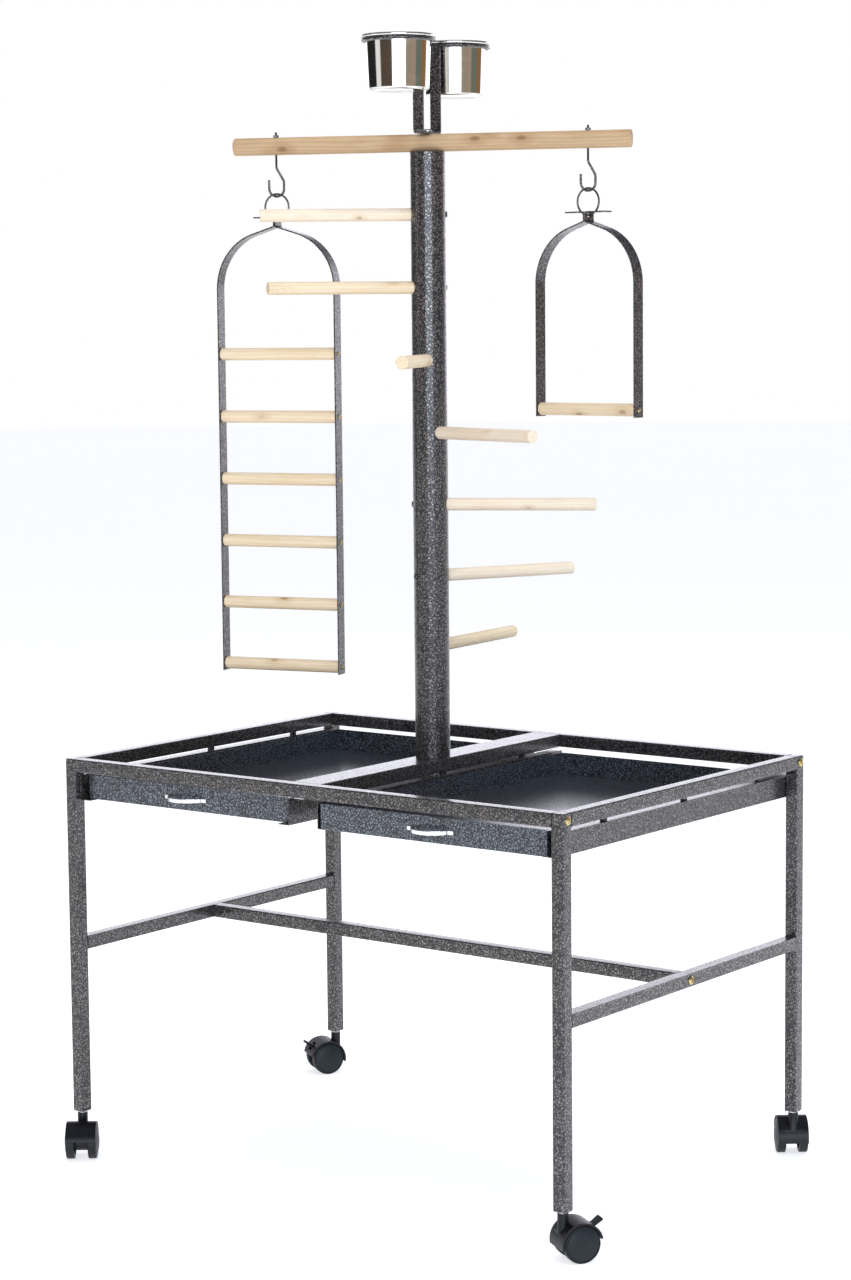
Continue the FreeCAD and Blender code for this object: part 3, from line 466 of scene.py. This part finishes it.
def swept(path, radius_at, sides=16):
    """Wire along a path, its radius given at each point."""
    shape = bmesh.new()
    made = bmesh.ops.create_circle(shape, cap_ends=False, radius=1.0, segments=sides)
    loop_verts, loop_edges = made["verts"], shape.edges[:]
    side = (path[1] - path[0]).normalized().orthogonal()
    current = Matrix.Identity(4)
    for index, point in enumerate(path):
        before, after = path[max(index - 1, 0)], path[min(index + 1, len(path) - 1)]
        target = frame_at(point, after - before, side) @ Matrix.Scale(radius_at(index), 4)
        side = target.to_3x3() @ Vector((1, 0, 0))
        if index:
            grown = bmesh.ops.extrude_edge_only(shape, edges=loop_edges)["geom"]
            loop_verts = [item for item in grown if isinstance(item, bmesh.types.BMVert)]
            loop_edges = [item for item in grown if isinstance(item, bmesh.types.BMEdge)
                          and all(vert in loop_verts for vert in item.verts)]
        bmesh.ops.transform(shape, matrix=target @ current.inverted(), verts=loop_verts)
        current = target
    bmesh.ops.holes_fill(shape, edges=shape.edges, sides=sides)
    bmesh.ops.recalc_face_normals(shape, faces=shape.faces)
    return shape


def carved(mesh_data, cutters):
    """Cuts the cutter shapes out of a mesh."""
    def temporary(data, label):
        mesh = bpy.data.meshes.new(label)
        data.to_mesh(mesh)
        data.free()
        piece = bpy.data.objects.new(label, mesh)
        bpy.context.scene.collection.objects.link(piece)
        return piece

    body = temporary(mesh_data, "carved_body")
    tool = temporary(cutters, "carving_tool")
    cut = body.modifiers.new("cut", "BOOLEAN")
    cut.operation, cut.solver, cut.object = "DIFFERENCE", "EXACT", tool
    cut.use_self = True
    depsgraph = bpy.context.evaluated_depsgraph_get()
    result = bmesh.new()
    result.from_object(body, depsgraph)
    for piece in (body, tool):
        mesh = piece.data
        bpy.data.objects.remove(piece)
        bpy.data.meshes.remove(mesh)
    return result


# ---- steel frame --------------------------------------------------------------------------
TUBE_EDGE = 1.6 * MM
SHEET_EDGE = 0.4 * MM
STRAP_EDGE = 0.6 * MM
X_AXIS, Y_AXIS = Vector((1, 0, 0)), Vector((0, 1, 0))


def table_frame():
    """Square tubes with drawn corners."""
    for corner in CORNERS:
        softened("leg_" + corner, FRAME_PAINT, TUBE_EDGE, shortest=12 * MM)
    for side in SIDES:
        for level in ("side_rail_", "lower_rail_"):
            softened(level + side, FRAME_PAINT, TUBE_EDGE, axis=Y_AXIS, shortest=100 * MM)
    for rail in ("front_rail", "rear_rail", "stretcher"):
        softened(rail, FRAME_PAINT, TUBE_EDGE, axis=X_AXIS, shortest=100 * MM)
    softened("centre_beam", FRAME_PAINT, TUBE_EDGE, axis=Y_AXIS, shortest=100 * MM)


def trays():
    """Folded sheet trays and the runners that carry them."""
    softened("tray_runners", FRAME_PAINT, SHEET_EDGE, shortest=4 * MM)
    for side in SIDES:
        softened("tray_" + side, TRAY_PAINT, SHEET_EDGE, shortest=4 * MM)
        softened("tray_handle_" + side, PULL_CHROME, 0.85 * MM, segments=4, shortest=0.4 * MM)


WELD_R = 1.5 * MM
WELD_PITCH = 1.7 * MM
WELD_END = 2 * MM
BEAM_WELD_END = 3 * MM


def weld_bead(target, start, end):
    """Rippled bead along a seam."""
    length = (end - start).length
    count = max(3, round(length / WELD_PITCH))
    path = [start.lerp(end, step / (4 * count)) for step in range(4 * count + 1)]

    def radius_at(index):
        ripple = 0.86 + 0.14 * math.cos(math.pi * index / 2)
        fade = min(1.0, 0.4 + 0.25 * index, 0.4 + 0.25 * (4 * count - index))
        return WELD_R * ripple * fade
    join(target, swept(path, radius_at, sides=8))


def welds():
    """Beads inside the corners where tube meets tube."""
    beads = bmesh.new()
    for side in SIDES:
        for level in ("side_rail_", "lower_rail_"):
            low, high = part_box(level + side)
            inner_x = low.x if side == "right" else high.x
            for y in (low.y, high.y):
                bottom, top = low.z + WELD_END, high.z - WELD_END
                weld_bead(beads, Vector((inner_x, y, bottom)), Vector((inner_x, y, top)))
                near_x, far_x = low.x + WELD_END, high.x - WELD_END
                weld_bead(beads, Vector((near_x, y, low.z)), Vector((far_x, y, low.z)))
    low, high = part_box("centre_beam")
    for y in (low.y, high.y):
        from_x, to_x = low.x + BEAM_WELD_END, high.x - BEAM_WELD_END
        weld_bead(beads, Vector((from_x, y, low.z)), Vector((to_x, y, low.z)))
        for x in (low.x, high.x):
            weld_bead(beads, Vector((x, y, low.z + WELD_END)), Vector((x, y, high.z - BEAM_WELD_END)))
    finished("weld_beads", beads, "stand", FRAME_PAINT)


POST_EDGE = 0.8 * MM
POST_DOME_R, POST_DOME_HEIGHT = 7 * MM, 4 * MM
POST_BOLT_HEAD_R, POST_BOLT_HEAD_HEIGHT = 6.8 * MM, 5 * MM


def post():
    """Round tube with softened ends, and the bolt heads above and below it."""
    low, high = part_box("post")
    radius, edge = (high.x - low.x) / 2, POST_EDGE
    profile = [(0, low.z), *arc((radius - edge, low.z + edge), edge, -90, 0, 4),
               *arc((radius - edge, high.z - edge), edge, 0, 90, 4), (0, high.z)]
    for_node("post", turned(profile, 128), FRAME_PAINT)
    bolt_low, bolt_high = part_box("post_bolts")
    bolts = bmesh.new()
    seat = Matrix.Translation((0, 0, bolt_high.z - POST_DOME_HEIGHT))
    join(bolts, screw_head(POST_DOME_R, POST_DOME_HEIGHT), seat)
    head = hexagon(POST_BOLT_HEAD_R, POST_BOLT_HEAD_HEIGHT, 0.5 * MM)
    join(bolts, head, Matrix.Translation((0, 0, bolt_low.z + POST_BOLT_HEAD_HEIGHT / 2)))
    for_node("post_bolts", bolts, BRIGHT_ZINC)


# ---- fasteners ----------------------------------------------------------------------------
STRAP_SCREW_R, STRAP_SCREW_HEIGHT = 3.4 * MM, 1.8 * MM
PERCH_SCREW_R, PERCH_SCREW_HEIGHT = 4.6 * MM, 2.6 * MM
FRAME_BOLT_R, FRAME_BOLT_HEIGHT = 6 * MM, 3 * MM


def hexagon(radius, height, edge):
    """Hexagon head or nut about its own centre, its edges turned off."""
    block = bmesh.new()
    bmesh.ops.create_cone(block, cap_ends=True, segments=6, radius1=radius, radius2=radius, depth=height)
    rounded(block, block.edges[:], edge, 2)
    return block


def screw_head(radius, height):
    """Domed head with a cross recess, its seat at local z = 0."""
    side = 0.35 * height
    crown = [(0.94 * radius * math.cos(angle), side + (height - side) * math.sin(angle))
             for angle in (math.radians(18 * step) for step in range(5))]
    head = turned([(0, 0), (radius, 0), (radius, side), *crown, (0, height)], 40)
    cross = bmesh.new()
    for turn in (0, math.pi / 2):
        size = Matrix.Diagonal((1.25 * radius, 0.26 * radius, 1.1 * height, 1))
        place = Matrix.Translation((0, 0, 0.95 * height)) @ Matrix.Rotation(turn, 4, "Z") @ size
        bmesh.ops.create_cube(cross, size=1.0, matrix=place)
    return carved(head, cross)


def screw_heads(node, material, radius, height, seats):
    """One head at each (seat, outward, turn in degrees)."""
    heads = bmesh.new()
    for seat, outward, turn in seats:
        spin = Matrix.Rotation(math.radians(turn), 4, "Z")
        join(heads, screw_head(radius, height), frame_at(seat, outward) @ spin)
    return for_node(node, heads, material, "_heads", sharp=30)


def hanging_axis(name):
    """Level direction across a ladder or swing, from its left strap to its right one."""
    return Vector(JOINTS[name + "_swing"]["axis"]).normalized()


def strap_screws(name, levels):
    """Screw heads on the outside of both straps."""
    axis = hanging_axis(name)
    low, high = extent(name + "_screws", axis)
    head = STRAP_SCREW_HEIGHT
    across = middle(name + "_screws")
    seats = []
    for step, z in enumerate(levels):
        for direction, reach in ((-axis, low), (axis, high)):
            seat = across + axis * (reach - across.dot(axis)) - direction * head
            seats.append((Vector((seat.x, seat.y, z)), direction, 37 * step))
    screw_heads(name + "_screws", YELLOW_ZINC, STRAP_SCREW_R, head, seats)


def perch_heading(number):
    """Level direction of a spiral perch, away from the post."""
    centre = middle("spiral_perch_%d" % number)
    return Vector((centre.x, centre.y, 0)).normalized()


def post_screws():
    """Screw heads on the far side of the post from each spiral perch."""
    low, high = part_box("post")
    post_r = (high.x - low.x) / 2
    seats = []
    for number in range(1, SPIRAL_PERCHES + 1):
        outward = -perch_heading(number)
        seat = outward * post_r + UP * middle("spiral_perch_%d" % number).z
        seats.append((seat, outward, 41 * number))
    screw_heads("perch_screws", FRAME_PAINT, PERCH_SCREW_R, PERCH_SCREW_HEIGHT, seats)


def corner_bolts():
    """Bolt heads on the outside of the legs and of the lower rails."""
    low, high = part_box("frame_bolts")
    head = FRAME_BOLT_HEIGHT
    seats = []
    rails = (middle("front_rail"), middle("rear_rail"), middle("stretcher"))
    for x, outward in ((low.x + head, -X_AXIS), (high.x - head, X_AXIS)):
        for step, rail in enumerate(rails):
            seats.append((Vector((x, rail.y, rail.z)), outward, 25 + 31 * step))
    screw_heads("frame_bolts", YELLOW_ZINC, FRAME_BOLT_R, head, seats)


# ---- wood ---------------------------------------------------------------------------------
DOWEL_SIDES = 40
DOWEL_RUN = 12 * MM
DOWEL_WOBBLE = 0.022
SPIRAL_EDGE, CROSS_EDGE, RUNG_EDGE = 1.3 * MM, 2.0 * MM, 1.2 * MM
CREAM_PERCHES = (1, 4, 5, 6)


def dowel_shape(length, radius, edge, seed):
    """Bar along local Z from z = 0: softened ends and a slightly uneven skin."""
    bar = bmesh.new()
    middle_z = Matrix.Translation((0, 0, length / 2))
    bmesh.ops.create_cone(bar, cap_ends=True, segments=DOWEL_SIDES, radius1=radius, radius2=radius,
                          depth=length, matrix=middle_z)
    long_edges = [side for side in bar.edges if side.calc_length() > length / 2]
    bmesh.ops.subdivide_edges(bar, edges=long_edges, cuts=max(2, round(length / DOWEL_RUN)))
    rims = [side for side in bar.edges if side.calc_face_angle(0) > math.radians(60)]
    rounded(bar, rims, edge, 3)
    for vertex in bar.verts:
        place = vertex.co * 28 + Vector((seed * 7.3, seed * 3.1, 0))
        wobble = 1 - DOWEL_WOBBLE * (0.5 + 0.5 * noise.noise(Vector((place.x, place.y, place.z * 0.45))))
        vertex.co.x *= wobble
        vertex.co.y *= wobble
    return bar


def wood_for(name, place, tones, knot_size, seed):
    """Wood finish lined up with a dowel's placement."""
    shift = Vector((0.011 + 0.002 * (seed % 3), 0.004 * (seed % 4), 0)).to_tuple()
    origin = (place.translation - UP * 0.013 * seed).to_tuple()
    return grain_wood(name, origin, tuple(place.to_euler()), tones, knot_size, shift)


def spiral_perch(number):
    """Pale dowel that stands out from the post."""
    node = "spiral_perch_%d" % number
    outward = perch_heading(number)
    low, high = extent(node, outward)
    centre = middle(node)
    node_low, node_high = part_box(node)
    radius = (node_high.z - node_low.z) / 2
    place = frame_at(outward * low + UP * centre.z, outward, UP)
    tones = CREAM_TONES if number in CREAM_PERCHES else PALE_TONES
    bar = dowel_shape(high - low, radius, SPIRAL_EDGE, number)
    bar.transform(place)
    for_node(node, bar, wood_for("wood_spiral_%d" % number, place, tones, 0.10, number), "_dowel", 40)


def cross_perch():
    """Thick golden perch across the top of the post."""
    first, last = Vector(JOINTS["ladder_ring_swing"]["pos_m"]), Vector(JOINTS["swing_ring_swing"]["pos_m"])
    along = Vector((last.x - first.x, last.y - first.y, 0)).normalized()
    low, high = extent("cross_perch", along)
    node_low, node_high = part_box("cross_perch")
    radius = (node_high.z - node_low.z) / 2
    place = frame_at(along * low + UP * (node_low.z + radius), along, UP)
    bar = dowel_shape(high - low, radius, CROSS_EDGE, 9)
    bar.transform(place)
    for_node("cross_perch", bar, wood_for("wood_cross", place, TAN_TONES, 0.16, 2), "_dowel", 40)


def level_dowels(node, name, levels, seed):
    """Dowels between two hanging straps."""
    axis = hanging_axis(name)
    low, high = extent(node, axis)
    centre = middle(node)
    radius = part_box(node)[1].z - max(levels)
    start = centre + axis * (low - centre.dot(axis))
    bars = bmesh.new()
    for step, z in enumerate(levels):
        place = frame_at(Vector((start.x, start.y, z)), axis, UP)
        join(bars, dowel_shape(high - low, radius, RUNG_EDGE, seed + step), place)
    place = frame_at(Vector((start.x, start.y, levels[0])), axis, UP)
    material = wood_for("wood_" + node, place, PALE_TONES, 0.13, seed)
    for_node(node, bars, material, "_dowels", 40)


# ---- ladder and swing ---------------------------------------------------------------------
def rung_levels():
    """Heights of the ladder rungs, from the top down."""
    low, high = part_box("ladder_rungs")
    perch_low, perch_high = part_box("swing_perch")
    radius = (perch_high.z - perch_low.z) / 2
    pitch = (high.z - low.z - 2 * radius) / (LADDER_RUNGS - 1)
    return [high.z - radius - pitch * step for step in range(LADDER_RUNGS)]


def hanging_parts():
    """Straps, rungs and screws of the ladder and the swing."""
    for name in ("ladder", "swing"):
        for side in SIDES:
            softened("%s_strap_%s" % (name, side), FRAME_PAINT, STRAP_EDGE, shortest=2.2 * MM)
    rungs = rung_levels()
    perch = [middle("swing_perch").z]
    level_dowels("ladder_rungs", "ladder", rungs, 21)
    level_dowels("swing_perch", "swing", perch, 34)
    strap_screws("ladder", rungs)
    strap_screws("swing", perch)


HOOK_WIRE = 1.75 * MM
THREAD_PITCH = 0.7 * MM
THREAD_LENGTH = 16 * MM
LINK_WIRE = 1.5 * MM
LINK_PLAY = 0.1 * MM
HOOK_TIP = 23 * MM
NUT_R = 4.0 * MM


def hook(side, joint_name):
    """Open wire hook with a threaded shank."""
    node = "hook_" + side
    joint = JOINTS[joint_name]
    foot = Vector(joint["pos_m"])
    across = Vector(joint["axis"]).normalized()
    low, high = extent(node, across)
    bend = (high - low) / 2 - HOOK_WIRE
    top_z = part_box(node)[1].z
    perch_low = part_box("cross_perch")[0].z
    shank = perch_low - THREAD_LENGTH - 2 * MM
    outline = [(0, top_z), (0, shank), (bend, foot.z + 2 * bend), (bend, foot.z), (-bend, foot.z),
               (-bend, foot.z + HOOK_TIP)]
    points = [Vector((foot.x, foot.y, z)) + across * reach for reach, z in outline]
    path = rounded_path(points, [0.8 * bend, 0.8 * bend, bend, bend])
    wire = swept(path[1:], lambda index: HOOK_WIRE)
    rounded(wire, [edge for edge in wire.edges if edge.calc_face_angle(0) > math.radians(60)], 0.6 * MM, 2)
    turns = round((top_z - path[1].z) / THREAD_PITCH)
    rise = (top_z - path[1].z) / (2 * turns)
    thread_path = [path[1] + UP * rise * step for step in range(2 * turns + 1)]
    join(wire, swept(thread_path, lambda index: HOOK_WIRE * (1.0 if index % 2 else 0.80), sides=14))
    for_node(node, wire, DARK_WIRE, "_wire", 50)


def link_ring(name):
    """Welded wire ring between hook and strap."""
    node = name + "_ring"
    axis = hanging_axis(name)
    centre = middle(node)
    low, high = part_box(node)
    shape = ring((high.z - low.z) / 2 - LINK_WIRE, LINK_WIRE - LINK_PLAY)
    place = frame_at(centre, axis.cross(UP), UP)
    shape.transform(place)
    for_node(node, shape, DARK_WIRE, "_wire", 50)


def nuts():
    """Hexagon nuts on top of the cross perch, their corners turned off."""
    low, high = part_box("hook_nuts")
    shape = bmesh.new()
    for name in ("ladder_ring_swing", "swing_ring_swing"):
        foot = Vector(JOINTS[name]["pos_m"])
        height = high.z - low.z
        nut = hexagon(NUT_R, height, 0.35 * MM)
        join(shape, nut, Matrix.Translation((foot.x, foot.y, low.z + height / 2)))
    for_node("hook_nuts", shape, DARK_WIRE)


# ---- cups ---------------------------------------------------------------------------------
CUP_WALL = 0.9 * MM
CUP_TAPER = 3.5 * MM
CUP_LIP = 4.3 * MM
CUP_RIM = 2.2 * MM
CUP_FOOT = 4.0 * MM
CUP_DISH = 1.2 * MM
CUP_NECK = 1.6 * MM


def cup(end):
    """Spun steel cup: rounded foot, shallow ring in its base and a rolled rim."""
    node = "cup_" + end
    low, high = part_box(node)
    edge_r = (high.x - low.x) / 2 - CUP_RIM
    top_r = edge_r - CUP_LIP
    base_r = top_r - CUP_TAPER
    rim_z = high.z - CUP_RIM
    lean = math.degrees(math.atan2(CUP_TAPER, rim_z - low.z))
    outer = [(0, low.z + CUP_DISH), (base_r * 0.62, low.z + CUP_DISH), (base_r * 0.68, low.z),
             *arc((base_r - CUP_FOOT, low.z + CUP_FOOT), CUP_FOOT, -90, -lean, 8),
             (top_r - 0.8 * MM, rim_z - 6 * MM),
             *arc((top_r + CUP_NECK, rim_z - 2.1 * MM), CUP_NECK, 175, 90, 6)]
    roll = arc((edge_r, rim_z), CUP_RIM, -150, 150, 20)
    inner = [(top_r + 1.2 * MM, rim_z + 0.6 * MM), (top_r - CUP_WALL, rim_z - 1.5 * MM),
             (base_r - CUP_WALL, low.z + CUP_FOOT + CUP_WALL),
             *arc((base_r - CUP_FOOT, low.z + CUP_FOOT), CUP_FOOT - CUP_WALL, 0, -90, 8),
             (base_r * 0.68, low.z + CUP_WALL), (base_r * 0.62, low.z + CUP_DISH + CUP_WALL),
             (0, low.z + CUP_DISH + CUP_WALL)]
    shape = turned(outer + roll + inner, 144)
    centre = (low + high) / 2
    shape.transform(Matrix.Translation((centre.x, centre.y, 0)))
    for_node(node, shape, CUP_STEEL, "_spun", 40)


def bracket():
    """Bent strap with a wire ring welded to each leg."""
    softened("cup_bracket", FRAME_PAINT, STRAP_EDGE, shortest=8 * MM)


# ---- castors ------------------------------------------------------------------------------
DISC_GROOVE = 0.9 * MM
DISC_CROWN = 3 * MM
DISC_INSET = 3.4 * MM
WHEEL_INNER = 10 * MM
WHEEL_SHOULDER = 2.0 * MM
WHEEL_INNER_EDGE = 1.2 * MM
HUB_R, HUB_RECESS = 7 * MM, 3 * MM
TREAD_DEPTH = 1.0 * MM
CASTOR_SHORTEST, HOOD_EDGE, LEVER_EDGE = 0.8 * MM, 0.7 * MM, 0.6 * MM
FLARE_FROM, FLARE_OVER, FLARE_SHARE = 4 * MM, 12 * MM, 0.30


def castor_wheel_pair(corner):
    """Two domed wheels with a raised rim round each disc."""
    node = "castor_wheels_" + corner
    joint = JOINTS["wheel_roll_" + corner]
    centre, axis = Vector(joint["pos_m"]), Vector(joint["axis"]).normalized()
    low, high = extent(node, axis)
    half = (high - low) / 2
    radius = (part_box(node)[1].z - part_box(node)[0].z) / 2
    crown, flange, inner = DISC_CROWN, half - DISC_CROWN, WHEEL_INNER
    disc_r = radius - DISC_INSET
    sphere = (disc_r ** 2 + crown ** 2) / (2 * crown)
    radii = [disc_r * step / 10 for step in range(11)]
    dome = [(reach, flange + math.sqrt(sphere ** 2 - reach ** 2) - sphere + crown) for reach in radii]
    shoulder, edge, recess = WHEEL_SHOULDER, WHEEL_INNER_EDGE, inner + HUB_RECESS
    rim = [(disc_r + 0.1 * MM, flange - DISC_GROOVE), (disc_r + 0.9 * MM, flange - DISC_GROOVE),
           (disc_r + 1.1 * MM, flange - 0.1 * MM),
           *arc((radius - shoulder, flange - shoulder), shoulder, 80, 0, 6),
           *arc((radius - edge, inner + edge), edge, 0, -90, 4)]
    hub = [(radius - 5 * MM, inner), (radius - 6 * MM, recess), (HUB_R + 1 * MM, recess), (HUB_R, inner),
           (0, inner)]
    wheels = bmesh.new()
    for side in (-1, 1):
        join(wheels, turned(dome + rim + hub, 72), frame_at(centre, axis * side))
    wheels_piece = for_node(node, wheels, [CASTOR_DISC, TREAD_NYLON], "_pair", 32)
    for face in wheels_piece.data.polygons:
        reach = (face.center - centre).cross(axis).length
        face.material_index = 1 if reach > radius - TREAD_DEPTH else 0


def castor_hood(corner):
    """Moulded hood with softened edges."""
    node = "castor_hood_" + corner
    copy = merged_copy(node)
    rounded(copy, sharp_edges(copy, CASTOR_SHORTEST, least_turn=50), HOOD_EDGE, 2)
    for_node(node, copy, CASTOR_BLACK, "_moulded")


def brake_lever(corner):
    """Foot lever whose tab flares towards its end."""
    node = "brake_lever_" + corner
    copy = merged_copy(node)
    joint = JOINTS["brake_press_" + corner]
    pivot, axis = Vector(joint["pos_m"]), Vector(joint["axis"]).normalized()
    for vertex in copy.verts:
        sideways = axis * (vertex.co - pivot).dot(axis)
        reach = vertex.co - pivot - sideways
        flare = min(1.0, max(0.0, reach.length - FLARE_FROM) / FLARE_OVER)
        vertex.co += sideways * FLARE_SHARE * flare
    rounded(copy, sharp_edges(copy, CASTOR_SHORTEST, least_turn=50), LEVER_EDGE, 2)
    for_node(node, copy, CASTOR_BLACK, "_moulded")


def castors():
    """Wheels, hoods, axles, stems and the two brake levers."""
    for corner in CORNERS:
        castor_wheel_pair(corner)
        castor_hood(corner)
        NODES["castor_axle_" + corner].data.materials[0] = BRIGHT_ZINC
    for corner in BRAKED:
        brake_lever(corner)
    softened("castor_stems", BRIGHT_ZINC, 0.3 * MM, shortest=0.3 * MM)


# ---- studio -------------------------------------------------------------------------------
CAMERA_AT = (2.5088, -3.3410, 1.2115)
CAMERA_YAW = math.radians(37.03)
CAMERA_PITCH = math.radians(6.24)
CAMERA_ROLL = math.radians(-0.543)
LENS_MM = 82.68


def camera():
    """Camera with a slight fall below level and a slight roll."""
    yaw, pitch, roll = CAMERA_YAW, CAMERA_PITCH, CAMERA_ROLL
    forward = Vector((-math.sin(yaw) * math.cos(pitch), math.cos(yaw) * math.cos(pitch), -math.sin(pitch)))
    level = Vector((math.cos(yaw), math.sin(yaw), 0))
    above = level.cross(forward)
    right = level * math.cos(roll) + above * math.sin(roll)
    top = above * math.cos(roll) - level * math.sin(roll)
    data = bpy.data.cameras.new("camera")
    data.lens = LENS_MM
    data.sensor_width = 36
    data.clip_end = 200
    made = bpy.data.objects.new("camera", data)
    made.matrix_world = Matrix.Translation(CAMERA_AT) @ Matrix((right, top, -forward)).transposed().to_4x4()
    bpy.context.scene.collection.objects.link(made)
    bpy.context.scene.camera = made


def soft_light(name, place, target, size, power, colour):
    """Large soft light aimed at a point, and left out of reflections."""
    data = bpy.data.lights.new(name, "AREA")
    data.shape, data.size, data.energy, data.color = "DISK", size, power, colour
    made = bpy.data.objects.new(name, data)
    made.matrix_world = frame_at(Vector(place), Vector(place) - Vector(target))
    made.visible_glossy = False
    bpy.context.scene.collection.objects.link(made)


WINDOW, BACKDROP, HAZE = (5.0, 5.6, 6.4), (2.1, 2.1, 2.3), (0.9, 0.9, 0.9)
BROWN, DUSK, OLIVE = (0.09, 0.062, 0.045), (0.02, 0.02, 0.02), (0.33, 0.27, 0.20)
ROSE, GREEN, AMBER = (0.38, 0.28, 0.21), (0.15, 0.18, 0.15), (0.27, 0.15, 0.07)
CEILING, SKYLIGHT, GROUND = rgb(0.13, 0.14, 0.17), rgb(0.50, 0.52, 0.58), rgb(0.75, 0.75, 0.76)
FLOOR_R = 30.0
# Room tones by compass direction in degrees, anticlockwise from +X
ROOM = ((-180, DUSK), (-143, DUSK), (-140, HAZE), (-122, HAZE), (-119, BROWN), (-76, BROWN),
        (-70, WINDOW), (-33, WINDOW), (-26, OLIVE), (-5, OLIVE), (-2, ROSE), (12, ROSE), (15, GREEN),
        (36, GREEN), (40, AMBER), (64, AMBER), (72, BACKDROP), (158, BACKDROP), (166, DUSK), (180, DUSK))


def studio():
    """Pale floor, white backdrop and the soft tones of the room behind the camera."""
    world = bpy.data.worlds.new("studio")
    world.use_nodes = True
    bpy.context.scene.world = world
    nodes = Nodes(world.node_tree)
    direction = nodes.add("ShaderNodeTexCoord", output="Generated")
    inputs = {"Vector": direction}
    around = nodes.add("ShaderNodeTexGradient", {"gradient_type": "RADIAL"}, inputs, output=1)
    room = nodes.ramp(around, [((angle + 180) / 360, tone) for angle, tone in ROOM])
    up = nodes.add("ShaderNodeSeparateXYZ", None, {"Vector": direction}, output="Z")
    light = nodes.mix(nodes.step(up, 0.20, 0.42), room, CEILING)
    light = nodes.mix(nodes.step(up, 0.80, 0.92), light, SKYLIGHT)
    light = nodes.mix(nodes.step(up, -0.35, 0.0, 1.0, 0.0), light, GROUND)
    seen = nodes.add("ShaderNodeLightPath", output="Is Camera Ray")
    background = world.node_tree.nodes["Background"]
    nodes.feed(background.inputs["Color"], nodes.mix(seen, light, rgb(1.0, 1.0, 1.0)))
    floor_mesh = bmesh.new()
    bmesh.ops.create_circle(floor_mesh, cap_ends=True, radius=FLOOR_R, segments=96)
    mesh = bpy.data.meshes.new("floor")
    floor_mesh.to_mesh(mesh)
    floor_mesh.free()
    mesh.materials.append(floor_finish())
    floor = bpy.data.objects.new("floor", mesh)
    bpy.context.scene.collection.objects.link(floor)
    soft_light("key", (1.2, -4.2, 3.4), (0, 0, 0.8), 2.4, 50, (1.0, 0.98, 0.95))
    soft_light("side", (4.6, 0.6, 2.2), (0, 0, 0.7), 2.2, 72, (0.55, 0.76, 1.0))
    soft_light("top", (0, 0.6, 4.4), (0, 0, 0.6), 3.6, 95, (0.97, 0.98, 1.0))
    bpy.context.scene.view_settings.view_transform = "Standard"


# ---- the whole stand ----------------------------------------------------------------------
camera()
studio()
table_frame()
trays()
welds()
post()
post_screws()
corner_bolts()
for perch_number in range(1, SPIRAL_PERCHES + 1):
    spiral_perch(perch_number)
cross_perch()
hanging_parts()
hook("left", "ladder_ring_swing")
hook("right", "swing_ring_swing")
link_ring("ladder")
link_ring("swing")
nuts()
cup("front")
cup("rear")
bracket()
castors()
